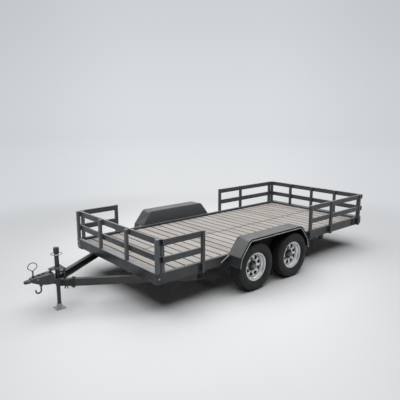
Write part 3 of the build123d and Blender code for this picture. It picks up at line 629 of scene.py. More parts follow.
def make_tyre(place):
    """A radial tyre with ribbed sidewalls, grooves all round and slotted shoulders."""
    low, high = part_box(f"tyre_{place}")
    centre = (low + high) / 2
    radius = (high.z - low.z) / 2
    half = (high.y - low.y) / 2
    bead = radius - sidewall_height
    skin = [(share, bead + height) for height, share in sidewall]
    skin += [(share, radius - crown_drop * share ** 2) for pair in groove_edges for share in pair]
    skin += [(-share, height) for share, height in skin[::-1]]
    bm = bmesh.new()
    spin_chain(bm, [centre + Vector((0, half * share, height)) for share, height in skin],
               centre, (0, 1, 0), tread_steps, closed=True)
    grooves, slots = [], []
    for face in bm.faces:
        middle = face.calc_center_median() - centre
        reach = math.hypot(middle.x, middle.z)
        across = abs(middle.y) / half
        turn = math.degrees(math.atan2(middle.z, middle.x)) / 360 * tread_steps
        slotted = math.floor(turn) % slot_every == 0
        if reach > radius - tread_drop:
            if any(inner - 0.005 < across < outer + 0.005 for outer, inner in groove_edges):
                grooves.append(face)
            elif across > groove_edges[0][0] and slotted:
                slots.append(face)
        elif reach > radius - shoulder_drop and across > shoulder_from and slotted:
            slots.append(face)
    for faces, wall, depth in ((grooves, 0.0006, groove_depth), (slots, 0.0014, slot_depth)):
        bmesh.ops.inset_region(bm, faces=faces, thickness=wall, depth=-depth,
                               use_boundary=True, use_even_offset=True)
    reach_layer = bm.verts.layers.float.new("reach")
    for vert in bm.verts:
        out = vert.co - centre
        vert[reach_layer] = (math.hypot(out.x, out.z) - bead) / sidewall_height
    piece = finish_piece(f"tread_tyre_{place}", bm, rubber, f"wheel_{place}", 32.0)
    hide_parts(f"tyre_{place}")


for place in wheel_places:
    make_tyre(place)


# Deck ----------------------------------------

board_count = 28
board_gap = 0.008
seam_gap = 0.004
board_ease = 0.0022
board_cuts = 14
wander_pitch, wander_depth = 2.1, 0.0022
sag_pitch, sag_depth = 1.3, 0.0012
deck_low, deck_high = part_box("deck_planks")
board_pitch = (deck_high.x - deck_low.x + board_gap) / board_count
planks = weathered_planks(deck_low.x - board_gap / 2, board_pitch)


def make_deck_boards():
    """Boards in two lengths with eased edges that wander slightly, toned one by one."""
    bm = bmesh.new()
    tone_layer = bm.faces.layers.float.new("board_tone")
    for i in range(board_count):
        rear = deck_low.x + i * board_pitch
        middle = rear + (board_pitch - board_gap) / 2
        for side in (-1, 1):
            before = set(bm.faces)
            add_block(bm, (rear, side * seam_gap / 2, deck_low.z),
                      (rear + board_pitch - board_gap, side * deck_high.y, deck_high.z),
                      board_ease)
            long_edges = list({e for f in bm.faces if f not in before for e in f.edges
                               if abs(e.verts[0].co.y - e.verts[1].co.y) > 0.5})
            bmesh.ops.subdivide_edges(bm, edges=long_edges, cuts=board_cuts, use_grid_fill=True)
            fresh = [f for f in bm.faces if f not in before]
            seed = i * 7.31 + (3.7 if side > 0 else 0.0)
            tone = noise.random()
            for vert in {v for f in fresh for v in f.verts}:
                ahead = vert.co.x > middle
                wander = noise.noise(Vector((seed, vert.co.y * wander_pitch, ahead)))
                inward = wander_depth * (wander + 0.6)
                vert.co.x += -inward if ahead else inward
                if vert.co.z > deck_high.z - 0.004:
                    sag = noise.noise(Vector((vert.co.y * sag_pitch, seed, 0.0)))
                    vert.co.z -= sag_depth * (1 + sag)
            for face in fresh:
                face[tone_layer] = tone
    piece = finish_piece("deck_boards", bm, planks, sharp_angle=50.0)
    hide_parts("deck_planks")


noise.seed_set(11)
make_deck_boards()


# Wheels --------------------------------------

lug_count = 5
lug_circle = 0.057
lug_size = 0.0108
lug_seat = 0.005
lug_cap = ((0, 0), (0.0085, 0), (0.0085, 0.006), (0.006, 0.010), (0, 0.011))
valve_stem = ((0, -0.014), (0.0085, -0.014), (0.0085, -0.004), (0.0050, 0.006),
              (0.0050, 0.020), (0.0046, 0.020), (0.0046, 0.032), (0.0036, 0.034), (0, 0.034))
valve_from_bead = 0.042
plate_inner, plate_outer = 0.0425, 0.078
plate_back, plate_face = 0.0003, 0.005
rim_steps = 96
disc_steps = 192
disc_thickness = 0.0042
window_count = 8
window_middle = 0.1225
window_half_width = 0.0285
window_half_length = 0.0280

# The barrel's visible face, its tyre side, and the disc from its hub hole outwards, as
# distance from the wheel's middle plane and radius.
barrel_face = (
    (0.0740, 0.2028), (0.0728, 0.2002), (0.0716, 0.1960), (0.0712, 0.1885), (0.0700, 0.1862),
    (0.0575, 0.1850), (0.0540, 0.1826), (0.0480, 0.1826), (0.0450, 0.1850), (0.0400, 0.1844),
    (0.0375, 0.1822), (0.0265, 0.1690), (0.0235, 0.1662), (-0.0355, 0.1660), (-0.0375, 0.1680),
    (-0.0495, 0.1850), (-0.0700, 0.1862), (-0.0712, 0.1885), (-0.0716, 0.1960),
    (-0.0728, 0.2002), (-0.0740, 0.2028),
)
barrel_tyre_side = (
    (-0.0738, 0.2038), (-0.0700, 0.2038), (-0.0690, 0.2020), (-0.0690, 0.1900),
    (-0.0470, 0.1900), (-0.0330, 0.1710), (0.0210, 0.1710), (0.0350, 0.1900), (0.0690, 0.1900),
    (0.0690, 0.2020), (0.0700, 0.2038), (0.0738, 0.2038),
)
disc_face = (
    (0.0, 0.0425), (0.0, 0.078), (0.0015, 0.084), (0.0065, 0.090), (0.0130, 0.0965),
    (0.0185, 0.104), (0.0215, 0.112), (0.0225, 0.122), (0.0220, 0.133), (0.0195, 0.143),
    (0.0145, 0.1515), (0.0080, 0.1580), (0.0045, 0.1620), (0.0040, 0.1655), (-0.0060, 0.1658),
)


def disc_height(radius):
    """How far the wheel disc stands out from the middle plane at a radius."""
    for (low, inner), (high, outer) in zip(disc_face, disc_face[1:]):
        if radius <= outer:
            return low + (high - low) * (radius - inner) / (outer - inner)
    return disc_face[-1][0]


def nearest_window(vert, centre):
    """The angle of a vertex's window, its offsets round and out from it, and their size.

    The size is one on the window's outline, which is a square with well rounded corners.
    """
    arm = vert.co - centre
    step = 2 * math.pi / window_count
    turn = math.atan2(arm.x, arm.z)
    middle = (math.floor(turn / step) + 0.5) * step
    round_by, out_by = (turn - middle) * window_middle, math.hypot(arm.x, arm.z) - window_middle
    size = ((abs(round_by) / window_half_width) ** 3
            + (abs(out_by) / window_half_length) ** 3) ** (1 / 3)
    return middle, round_by, out_by, size


def make_rim(place):
    """A steel wheel: a stepped drop-centre barrel and a crowned disc with eight windows."""
    low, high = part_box(f"rim_{place}")
    centre = (low + high) / 2
    way = outer_side(low, high)[0]

    def above_centre(chain):
        return [centre + Vector((0, way * along, radius)) for along, radius in chain]

    bm = bmesh.new()
    spin_chain(bm, above_centre(barrel_face + barrel_tyre_side), centre, (0, 1, 0), rim_steps,
               closed=True)

    windows_from, band = 0.090, 0.0035
    fine = []
    for (near, inner), (far, outer) in zip(disc_face, disc_face[1:]):
        parts = max(1, round((outer - inner) / band)) if inner >= windows_from else 1
        fine += [(near + (far - near) * i / parts, inner + (outer - inner) * i / parts)
                 for i in range(parts)]
    disc = bmesh.new()
    spin_chain(disc, above_centre(fine + [disc_face[-1]]), centre, (0, 1, 0), disc_steps)
    open_faces = [f for f in disc.faces
                  if all(nearest_window(v, centre)[3] < 1 for v in f.verts)]
    bmesh.ops.delete(disc, geom=open_faces, context="FACES")
    for vert in {v for e in disc.edges if e.is_boundary for v in e.verts}:
        middle, round_by, out_by, size = nearest_window(vert, centre)
        if 0.5 < size < 1.4:
            radius = window_middle + out_by / size
            angle = middle + round_by / size / window_middle
            vert.co = centre + Vector((math.sin(angle) * radius, way * disc_height(radius),
                                       math.cos(angle) * radius))
    bmesh.ops.recalc_face_normals(disc, faces=disc.faces)
    if sum(f.normal.y * way for f in disc.faces) < 0:
        bmesh.ops.reverse_faces(disc, faces=disc.faces)
    bmesh.ops.solidify(disc, geom=disc.faces[:], thickness=disc_thickness)
    mesh = bpy.data.meshes.new("disc")
    disc.to_mesh(mesh)
    disc.free()
    bm.from_mesh(mesh)
    bpy.data.meshes.remove(mesh)
    piece = finish_piece(f"wheel_rim_{place}", bm, silver, f"wheel_{place}", 30.0)
    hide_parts(f"rim_{place}")


def make_wheel_fittings(place):
    """The dark centre plate, also painted shade round the nuts, its lug nuts, the grease cap and
    the tyre valve.
    """
    low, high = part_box(f"rim_{place}")
    centre = (low + high) / 2
    out = Vector((0, outer_side(low, high)[0], 0))
    cap = abs(outer_side(*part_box(f"hub_{place}"))[1] - centre.y)
    body = f"wheel_{place}"

    bm = bmesh.new()
    # Painted shade: the plate is dark partly to stand for the shade round the lug nuts.
    add_ring(bm, centre, out, plate_inner, plate_outer, plate_back, plate_face, 48)
    finish_piece(f"wheel_centre_shade_plate_{place}", bm, hub_black, body)

    bm = bmesh.new()
    for i in range(lug_count):
        angle = 2 * math.pi * (i + 0.25) / lug_count
        spoke = Vector((math.sin(angle), 0, math.cos(angle)))
        foot = centre + spoke * lug_circle + out * plate_face
        add_rod(bm, foot - out * 0.0005, foot + out * lug_seat, 0.0135, 20, end_radius=0.0112)
        add_bolt(bm, foot + out * lug_seat, out, lug_size, washer=False)
        add_turned(bm, foot + out * (lug_seat + 0.008), out, lug_cap, 12)
    finish_piece(f"lug_nuts_{place}", bm, dark_steel, body=body)

    bm = bmesh.new()
    add_turned(bm, centre, out, [
        (0, cap + 0.0002), (0.0295, cap + 0.0002), (0.0342, cap - 0.0048), (0.0342, 0.0175),
        (0.0385, 0.0175), (0.0385, 0.0205), (0.0362, 0.0225), (0.0362, cap - 0.006),
        (0.0335, cap), (0.026, cap + 0.0032), (0.012, cap + 0.0042), (0.011, cap + 0.0062),
        (0, cap + 0.0068)], 40)
    finish_piece(f"grease_cap_{place}", bm, cap_steel, body=body)

    bm = bmesh.new()
    valve = centre + Vector((0, 0, (high.z - low.z) / 2 - valve_from_bead)) + out * 0.036
    add_turned(bm, valve, out, valve_stem, 14)
    finish_piece(f"valve_stem_{place}", bm, rubber, body)


for place in wheel_places:
    make_rim(place)
    make_wheel_fittings(place)


# Frame and guards ----------------------------

front_low, front_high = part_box("front_beam")
rear_low, rear_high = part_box("rear_beam")
beam_low, beam_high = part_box("side_beam_left")
front_posts, side_posts, rear_posts, front_rails, side_rails, rear_rails = (
    solid_boxes(f"{place}_{kind}") for kind in ("posts", "rails")
    for place in ("front", "side", "rear"))


def weld_up(bm, x, y, low, high, trim=0.003, radius=0.0028):
    """An upright bead between two heights, stopped short of both."""
    add_weld(bm, (x, y, low + trim), (x, y, high - trim), radius)


def make_frame_welds():
    """Beads where the posts meet the beams and where the rails meet the posts."""
    bm = bmesh.new()
    trim = 0.002
    for low, high in front_posts + rear_posts:
        foot = low.z + 0.001
        for y in (low.y, high.y):
            if abs(y) < front_high.y - 0.001:
                add_weld(bm, (low.x + trim, y, foot), (high.x - trim, y, foot))
        add_weld(bm, (low.x, low.y + trim, foot), (low.x, high.y - trim, foot))
    for low, high in side_posts:
        for x in (low.x, high.x):
            if x > rear_high.x + 0.001:
                weld_up(bm, x, outer_side(low, high)[2], low.z, front_high.z, 0.004, 0.0035)
    for low, high in side_rails:
        _, face, root = outer_side(low, high)
        for x in (low.x, high.x):
            weld_up(bm, x, face, low.z, high.z)
            add_weld(bm, (x, root, low.z), (x, face, low.z), 0.0028)
    for rails, posts in ((front_rails, front_posts[2:]), (rear_rails, rear_posts)):
        for rail_low, rail_high in rails:
            for y in [corner.y for box in posts for corner in box]:
                weld_up(bm, rail_high.x, y, rail_low.z, rail_high.z)
    for side in (-1, 1):
        for y, radius in ((beam_low.y, 0.0035), (beam_high.y, 0.0025)):
            weld_up(bm, front_low.x, side * y, front_low.z, front_high.z, 0.006, radius)
    finish_piece("frame_welds", bm, charcoal, sharp_angle=60.0)


def make_rail_plugs():
    """Moulded plugs in the open ends of the front and rear rails."""
    bm = bmesh.new()
    wall, sunk, proud = 0.001, 0.004, 0.0025
    for low, high in front_rails + rear_rails:
        for y in (low.y, high.y):
            out = math.copysign(1, y)
            add_block(bm, (low.x + wall, y - out * sunk, low.z + wall),
                      (high.x - wall, y + out * proud, high.z - wall), 0.0018)
    finish_piece("rail_end_plugs", bm, black_gear)


def make_post_caps():
    """Rounded caps on the front posts that stop below the top rail."""
    bm = bmesh.new()
    lap, sunk, rise = 0.0004, 0.006, 0.010
    for low, high in front_posts:
        if high.z < front_rails[-1][1].z - 0.001:
            add_block(bm, (low.x - lap, low.y - lap, high.z - sunk),
                      (high.x, high.y + lap, high.z + rise), 0.007, 4)
    finish_piece("post_caps", bm, post_grey)


def make_frame_bolts():
    """Bolt heads on the front beam, at the side beams' front ends and down the posts."""
    dark, bright = bmesh.new(), bmesh.new()
    front_face, rows = front_high.x - 0.0012, (0.452, 0.512)
    lone_y, pair_ys = 0.922, (-1.038, -0.985)
    step_x, step_z = 1.731, 0.487
    for side in (-1, 1):
        add_bolt(dark, (front_face, side * lone_y, rows[0]), (1, 0, 0), 0.011)
        place = Vector((step_x, side * beam_high.y, step_z))
        add_ring(dark, place, (0, side, 0), 0.0105, 0.019, -0.0005, 0.004, 24)
        add_bolt(bright, place, (0, side, 0))
    for y in pair_ys:
        for z in rows:
            add_bolt(bright, (front_face, y, z), (1, 0, 0), 0.0105)
    for low, high in side_posts:
        out, face, _ = outer_side(low, high)
        for z in (front_low.z + 0.035, front_high.z - 0.030):
            add_bolt(dark, ((low.x + high.x) / 2, face, z), (0, out, 0), 0.009)
    finish_piece("frame_bolts_dark", dark, dark_steel)
    finish_piece("frame_bolts_plated", bright, zinc)


def make_post_brackets():
    """Black angle brackets that hold the feet of the side posts to the beams."""
    bm = bmesh.new()
    gap, plate, leg, flange, bolt_in = 0.0005, 0.006, 0.036, 0.030, 0.018
    foot, top = front_high.z - 0.098, front_high.z - 0.008
    for low, high in side_posts:
        out, _, root = outer_side(low, high)
        for x, way in ((high.x, 1), (low.x, -1)):
            if x < rear_high.x + 0.06 and way < 0:
                continue
            for length, near, far in ((plate, 0.0, leg), (flange, 0.0002, plate)):
                add_block(bm, (x + way * gap, root + out * near, foot),
                          (x + way * length, root + out * far, top), 0.0015, 1)
            for drop in (0.075, 0.032):
                add_bolt(bm, (x + way * bolt_in, root + out * plate, front_high.z - drop),
                         (0, out, 0), 0.007)
    finish_piece("post_foot_brackets", bm, black_gear)


def make_underframe():
    """Landing pads and rub brackets under the side beams, and plates at their rear ends."""
    bm = bmesh.new()
    beam_foot = front_low.z + 0.001
    plate_face, plate_middle, plate_rows = beam_high.y + 0.014, -2.6925, (0.455, 0.518)
    # The rubber blocks in the front brackets sit a little to the right on both sides.
    block_shift = 0.005
    for xs, ys, zs, bevel in (
            ((1.700, 1.755), (0.930, 1.045), (0.398, beam_foot), 0.004),
            ((1.475, 1.640), (0.990, 1.052), (0.408, beam_foot), 0.003),
            ((-1.775, -1.600), (0.998, 1.055), (0.405, beam_foot), 0.003),
            ((-1.760, -1.700), (0.998, 1.055), (0.345, 0.4055), 0.006),
            ((-2.730, -2.655), (beam_high.y, plate_face), (0.428, 0.545), 0.004)):
        for side in (-1, 1):
            add_block(bm, (xs[0], side * ys[0], zs[0]), (xs[1], side * ys[1], zs[1]), bevel)
    for side in (-1, 1):
        add_block(bm, (1.520, side * 0.995 - block_shift, 0.386),
                  (1.600, side * 1.047 - block_shift, 0.4085), 0.006)
        for z in plate_rows:
            add_bolt(bm, (plate_middle, side * plate_face, z), (0, side, 0), 0.008)
    finish_piece("underframe_brackets", bm, black_gear)


make_frame_welds()
make_rail_plugs()
make_post_caps()
make_frame_bolts()
make_post_brackets()
make_underframe()


# Fenders -------------------------------------

lip_set_in = 0.007
lip_thickness = 0.0035
lip_bead_radius = 0.0062
lip_bead_lap = 0.7


def lip_foot(bm, face, middle, side):
    """The points along the lower edge of a fender's outer lip, from front to rear."""
    found = {}
    for edge in bm.edges:
        if len(edge.link_faces) != 2 or any(abs(v.co.y - face) > 1e-4 for v in edge.verts):
            continue
        flat, outer = sorted((f.normal for f in edge.link_faces), key=lambda n: n.y * side)
        below = flat.dot(edge.verts[0].co - middle) <= 0
        at_foot = all(v.co.z < middle.z + 0.02 for v in edge.verts)
        if outer.y * side >= 0.9 and flat.y * side <= 0.5 and below and not at_foot:
            found.update({tuple(round(c, 4) for c in v.co): v.co.copy() for v in edge.verts})
    return sorted(found.values(), key=lambda p: math.atan2(p.z - middle.z + 0.05,
                                                           p.x - middle.x))


def make_fender(side_name):
    """The pressed fender, undersealed inside, its lip face black as painted shade, set in behind a
    rolled edge painted bright as a highlight.
    """
    node = f"fender_{side_name}"
    low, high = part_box(node)
    side, face, _ = outer_side(low, high)
    middle_x, middle_y, _ = (low + high) / 2
    bm = cad_copy(node)
    chain = []
    for point in lip_foot(bm, face, Vector((middle_x, face, low.z)), side):
        spot = point - Vector((0, side * lip_bead_radius, 0))
        toward = Vector((middle_x - spot.x, 0, low.z - spot.z)).normalized()
        chain.append(spot + toward * lip_bead_radius * lip_bead_lap)
    for vert in bm.verts:
        if abs(vert.co.y - face) < lip_thickness:
            vert.co.y -= side * lip_set_in
    bmesh.ops.recalc_face_normals(bm, faces=bm.faces)
    within = Vector((middle_x, middle_y, low.z))
    # Inside faces take the underseal; the outer lip face takes it too, as painted shade.
    for panel in bm.faces:
        spot = panel.calc_center_median()
        inside = panel.normal.dot(within - spot) > 0
        shaded_lip = panel.normal.y * side > 0.8 and abs(spot.y - face) < 0.02
        panel.material_index = 1 if inside or shaded_lip else 0
    piece = finish_piece(f"fender_shell_{side_name}", bm, fender_grey,
                         sharp_angle=30.0)
    piece.data.materials.append(lip_shade_and_underseal)
    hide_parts(node)

    # The rolled edge, painted bright as the highlight along the lip.
    bm = bmesh.new()
    add_bent_rod(bm, chain, lip_bead_radius)
    finish_piece(f"fender_lip_{side_name}", bm, rolled_edge_highlight, sharp_angle=50.0)


def make_fender_stays():
    """Plated stay rods from each fender's front fold down to the side beam."""
    bm = bmesh.new()
    reach, rise_z, foot_z, rod_radius = 0.100, 0.543, 0.470, 0.0058
    for side_name, side in sides.items():
        fender_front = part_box(f"fender_{side_name}")[1].x
        fold = Vector((fender_front - 0.004, side * (beam_high.y + 0.030), rise_z))
        foot = Vector((fender_front + reach, side * (beam_high.y + 0.0065), foot_z))
        add_rod(bm, fold, foot, rod_radius, 12)
        add_bolt(bm, foot - Vector((0, side * 0.0015, 0)), (0, side, 0))
        add_block(bm, fold - Vector((0.012, 0.014, 0.012)), fold + Vector((0.004, 0.014, 0.012)),
                  0.002)
    finish_piece("fender_stay_rods", bm, zinc)


for side_name in sides:
    make_fender(side_name)
make_fender_stays()


# Coupler and jack ----------------------------

coupler_low, coupler_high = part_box("coupler")
coupler_size = coupler_high - coupler_low

# The outer face of each tongue member runs from the apex on the centre line, rearwards
# and outwards at this slope.
tongue_apex = 2.7125
tongue_lean = 635 / 950

# Share of the length from the rear, of the half width, and of the height to top and bottom.
coupler_stations = (
    (0.0, 1.0, 1.0, 0.0), (0.178, 1.0, 1.0, 0.02), (0.27, 0.95, 0.97, 0.05),
    (0.44, 0.82, 0.92, 0.13), (0.56, 0.72, 0.885, 0.24), (0.67, 0.64, 0.868, 0.36),
    (0.76, 0.58, 0.855, 0.46), (0.785, 0.56, 0.85, 0.53), (0.795, 0.55, 0.725, 0.55),
    (0.865, 0.52, 0.705, 0.56), (0.93, 0.46, 0.69, 0.565), (0.975, 0.36, 0.67, 0.57),
    (1.0, 0.22, 0.64, 0.58),
)

# How far the coupler's top falls away towards its sides, by share of the half width.
crown_falls = ((0.75, 0.0), (0.9, 0.0015), (0.97, 0.004), (2.0, 0.009))


def coupler_section(x):
    """The coupler's half width and its top and bottom heights at a place along it."""
    share = (x - coupler_low.x) / coupler_size.x
    before, after = next(pair for pair in zip(coupler_stations, coupler_stations[1:])
                         if share <= pair[1][0] + 1e-6)
    mix = (share - before[0]) / (after[0] - before[0])
    width, top, bottom = (a + (b - a) * mix for a, b in zip(before[1:], after[1:]))
    return (width * coupler_size.y / 2, coupler_low.z + top * coupler_size.z,
            coupler_low.z + bottom * coupler_size.z)


def make_coupler_body():
    """A pressed coupler: crowned top with a rib, rolled lower edges and a long nose."""
    bm = bmesh.new()
    bmesh.ops.create_cube(bm, size=1.0, matrix=Matrix.Translation((0.5, 0, 0.5)))
    cut_along(bm, 0, [station[0] for station in coupler_stations[1:-1]] + [0.09, 0.355])
    cut_along(bm, 1, [side * share / 2 for side in (-1, 1) for share in (0.26, 0.34, 0.8, 0.93)])
    cut_along(bm, 2, (0.1, 0.16, 0.86))
    edge_fall, upper = crown_falls[-1][1], 0.95
    rib_half, rib_from, rib_to, rib_rise = 0.3, 0.2, 0.7, 0.0035
    flange_top, flange_flare = 0.12, 1.05
    for vert in bm.verts:
        share, across, height = vert.co.x, vert.co.y * 2, vert.co.z
        x = coupler_low.x + share * coupler_size.x
        width, top, bottom = coupler_section(x)
        if height > upper:
            z = top - next(fall for reach, fall in crown_falls if abs(across) < reach)
            if abs(across) < rib_half and rib_from < share < rib_to:
                z += rib_rise
        else:
            z = bottom + (top - edge_fall - bottom) * height / upper
        flare = flange_flare if height < flange_top else 1.0
        y = math.copysign(min(abs(across) * width * flare, coupler_high.y), across)
        vert.co = Vector((x, y, z))
    under = []
    for face in bm.faces:
        spot = face.calc_center_median()
        if face.normal.z < -0.5 and abs(spot.y) < 0.9 * coupler_section(spot.x)[0]:
            under.append(face)
    bmesh.ops.inset_region(bm, faces=under, thickness=0.003, depth=-0.006, use_boundary=True,
                           use_even_offset=True)
    piece = finish_piece("coupler_body", bm, coupler_paint, sharp_angle=28.0)
    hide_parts("coupler")


def make_ball_clamp():
    """The ring round the ball socket and the two-lipped jaw under the coupler's nose."""
    bm = bmesh.new()
    nose, ball_x = coupler_high.x, coupler_high.x - 0.055
    add_ring(bm, (ball_x, 0, coupler_low.z), (0, 0, 1), 0.0232, 0.0300, 0.062, 0.078, 36)
    foot, top, inner, outer = 0.435, 0.4425, 0.012, 0.030
    for side in (-1, 1):
        add_block(bm, (nose - 0.078, side * inner, foot), (nose - 0.006, side * outer, top), 0.003)
    add_block(bm, (nose - 0.022, -outer, foot), (nose - 0.002, outer, top), 0.003, 3)
    finish_piece("coupler_ball_clamp", bm, dark_steel)


def make_coupler_latch():
    """The channel-shaped latch lever on the coupler, its rivets, hinge and side bolts."""
    bm, bright = bmesh.new(), bmesh.new()
    start, stop = coupler_low.x + 0.082, coupler_low.x + 0.225
    tops = [coupler_section(x)[1] for x in (start, stop)]
    turn = Matrix.Rotation(math.atan2(tops[0] - tops[1], stop - start), 4, "Y")
    middle, half, z = (start + stop) / 2, (stop - start) / 2, sum(tops) / 2 + 0.008
    half_width, half_web, wall_y, half_wall = 0.013, 0.003, 0.0115, 0.0015
    add_block(bm, (middle - half, -half_width, z - half_web),
              (middle + half, half_width, z + half_web), 0.0015, 2, turn)
    for side in (-1, 1):
        y = side * wall_y
        add_block(bm, (middle - half, y - half_wall, z - 0.0005),
                  (middle + half * 0.6, y + half_wall, z + 0.0085), 0.001, 1, turn)
    rivet = ((0, 0), (0.0085, 0), (0.0085, 0.005), (0.006, 0.0085), (0, 0.0098))
    for x in (start + 0.018, start + 0.062, stop - 0.020):
        add_turned(bright, (x, 0, coupler_section(x)[1] + 0.007), (0, 0, 1), rivet, 20)
    hinge_x, hinge_z, hinge_size, bolt_z = 2.823, 0.466, 0.0085, 0.452
    for side in (-1, 1):
        place = Vector((hinge_x, side * (coupler_section(hinge_x)[0] - 0.001), hinge_z))
        add_ring(bm, place, (0, side, 0), hinge_size, 0.0165, -0.001, 0.003, 24)
        add_bolt(bright, place, (0, side, 0), hinge_size, washer=False)
        for x in (coupler_low.x + 0.028, coupler_low.x + 0.082):
            add_bolt(bm, (x, side * (coupler_high.y - 0.0012), bolt_z), (0, side, 0))
    finish_piece("coupler_latch", bm, dark_steel)
    finish_piece("coupler_rivets", bright, zinc)


def make_pin_spring():
    """The ribbed spring and its cup round the foot of the coupler pin."""
    foot_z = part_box("coupler_pin")[0].z
    bm = cad_copy("coupler_pin")
    foot = [v.co.x for v in bm.verts if v.co.z < foot_z + 0.004]
    bm.free()
    stem = Vector(((min(foot) + max(foot)) / 2, 0, foot_z))
    inner, cup, top, coils, coil_pitch = 0.0092, 0.0185, 0.044, 5, 0.0075
    shape = [(inner, 0.0), (cup, 0.0), (cup, 0.004)]
    for coil in range(coils):
        shape += [(0.0168 - 0.0006 * coil, 0.0055 + coil_pitch * coil),
                  (0.0132 - 0.0004 * coil, 0.0092 + coil_pitch * coil)]
    bm = bmesh.new()
    add_turned(bm, stem, (0, 0, 1), shape + [(inner, top)], closed=True)
    finish_piece("coupler_pin_spring", bm, hub_black)


def make_hook_mount():
    """The lug, pin and nut that carry the safety hook under the coupler."""
    low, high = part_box("safety_hook")
    x = low.x + (high.y - low.y) / 2
    half_length, half_width = 0.016, 0.019
    bm = bmesh.new()
    add_block(bm, (x - half_length, -half_width, high.z - 0.018),
              (x + half_length, half_width, high.z + 0.014), 0.004, 3)
    for side in (-1, 1):
        add_bolt(bm, (x, side * half_width, high.z - 0.004), (0, side, 0), 0.007)
    finish_piece("hook_mount", bm, dark_steel)


def make_jack_fittings():
    """The plate's bolts, two collars on the tube, and the fluted sleeve of its cap."""
    low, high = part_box("jack_plate")
    tube_low, tube_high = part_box("jack_tube")
    ring_low, ring_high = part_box("jack_ring")
    x = (tube_low.x + tube_high.x) / 2
    radius = (tube_high.x - tube_low.x) / 2
    bm = bmesh.new()
    inset, plate_thickness = 0.022, 0.010
    for spot in ((high.x - inset, 0), (low.x + inset, high.y - inset),
                 (low.x + inset, low.y + inset)):
        add_bolt(bm, (*spot, high.z), (0, 0, 1), 0.0105)
        add_bolt(bm, (*spot, high.z - plate_thickness), (0, 0, -1), 0.0085)
    finish_piece("jack_plate_bolts", bm, dark_steel)

    bm = bmesh.new()
    inner = radius - 0.0048
    fillet = [(inner + out, rise) for out, rise in ((0, 0), (0.011, 0), (0.008, 0.004),
                                                    (0.002, 0.009), (0, 0.009))]
    add_turned(bm, (x, 0, high.z - 0.0005), (0, 0, 1), fillet, 40, closed=True)
    add_ring(bm, (x, 0, ring_low.z - 0.010), (0, 0, 1), inner, inner + 0.006, 0.0, 0.007, 40)
    finish_piece("jack_collars", bm, jack_black)

    bm = bmesh.new()
    flutes, flute_depth = 40, 0.0018
    add_rod(bm, (x, 0, ring_high.z + 0.006), (x, 0, tube_high.z - 0.004), radius + 0.0022, flutes)
    for vert in bm.verts:
        spoke = Vector((vert.co.x - x, vert.co.y, 0))
        if round(math.degrees(math.atan2(spoke.y, spoke.x)) / 360 * flutes) % 2:
            vert.co -= spoke.normalized() * flute_depth
    bevel_edges(bm, [e for e in bm.edges if abs(e.verts[0].co.z - e.verts[1].co.z) < 1e-6],
                0.0012, 1)
    add_turned(bm, (x, 0, tube_high.z - 0.0045), (0, 0, 1),
               [(0, 0), (radius - 0.001, 0), (radius - 0.004, 0.0035), (0.012, 0.0044),
                (0, 0.0044)], 40)
    finish_piece("jack_cap_sleeve", bm, jack_black, sharp_angle=25.0)


def make_jack_swivel_clamps():
    """The dark round clamps beside the jack: a plate, a stepped boss and two studs a side."""
    bm = bmesh.new()
    boss_x, boss_z, strap_x = 2.500, 0.376, 2.556
    plates = ((2.530, 0.3775, 0.100, 0.086, 0.010), (strap_x, 0.3850, 0.030, 0.070, 0.022))
    boss = ((0, 0), (0.043, 0), (0.046, 0.004), (0.046, 0.013), (0.042, 0.017), (0.033, 0.018),
            (0.031, 0.026), (0.020, 0.029), (0, 0.029))
    stud_radius, stud_z, stud_length = 0.0058, 0.335, 0.034
    for side in (-1, 1):
        out = Vector((tongue_lean, side, 0)).normalized()
        turn = Matrix.Rotation(math.atan2(-side * tongue_lean, 1), 4, "Z")

        def face(x, z):
            return Vector((x, side * (tongue_apex - x) * tongue_lean, z))

        for x, z, length, height, thick in plates:
            middle = face(x, z) + out * (thick / 2 - 0.0004)
            half = Vector((length, thick, height)) / 2
            add_block(bm, middle - half, middle + half, 0.003, 2, turn)
        add_turned(bm, face(boss_x, boss_z) + out * 0.009, out, boss, 36)
        add_bolt(bm, face(boss_x, boss_z) + out * 0.0378, out, 0.0115)
        for z in (0.355, 0.402):
            add_bolt(bm, face(strap_x, z) + out * 0.0215, out, 0.0095)
        for x in (boss_x - 0.010, boss_x + 0.016):
            stud = face(x, stud_z) + out * 0.016
            add_rod(bm, stud, stud - Vector((0, 0, stud_length)), stud_radius, 12)
            add_bolt(bm, stud - Vector((0, 0, 0.018)), (0, 0, -1), 0.009, washer=False)
    finish_piece("jack_swivel_clamps", bm, hub_black)


def make_clamp_nuts():
    """Bolt heads on the straps that clamp the jack to the tongue."""
    bm = bmesh.new()
    for low, high in solid_boxes("jack_clamps"):
        middle = (low + high) / 2
        add_bolt(bm, (middle.x, middle.y, high.z - 0.0004), (0, 0, 1))
    finish_piece("clamp_bolts", bm, hub_black)


def make_tongue_welds():
    """Beads along the tongue where it meets the front beam and where its members meet."""
    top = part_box("tongue_left")[1].z
    gap, bead = 0.008, 0.056
    bm = bmesh.new()
    for side in (-1, 1):
        cross_y = side * (tongue_apex - front_high.x) * tongue_lean
        for near in (cross_y - gap - bead, cross_y + gap):
            add_weld(bm, (front_high.x, near, top - 0.001),
                     (front_high.x, near + bead, top - 0.001), 0.003)
        add_weld(bm, (coupler_low.x, side * 0.012, top + 0.001),
                 (coupler_low.x, side * 0.062, top + 0.001), 0.003)
        y, z = side * coupler_high.y, top - 0.008
        add_weld(bm, (coupler_low.x + 0.004, y, z), (coupler_low.x + 0.055, y, z), 0.0028)
    finish_piece("tongue_welds", bm, charcoal, sharp_angle=60.0)


make_coupler_body()
make_ball_clamp()
make_coupler_latch()
make_pin_spring()
make_hook_mount()
make_jack_fittings()
make_jack_swivel_clamps()
make_clamp_nuts()
make_tongue_welds()


# Running gear --------------------------------


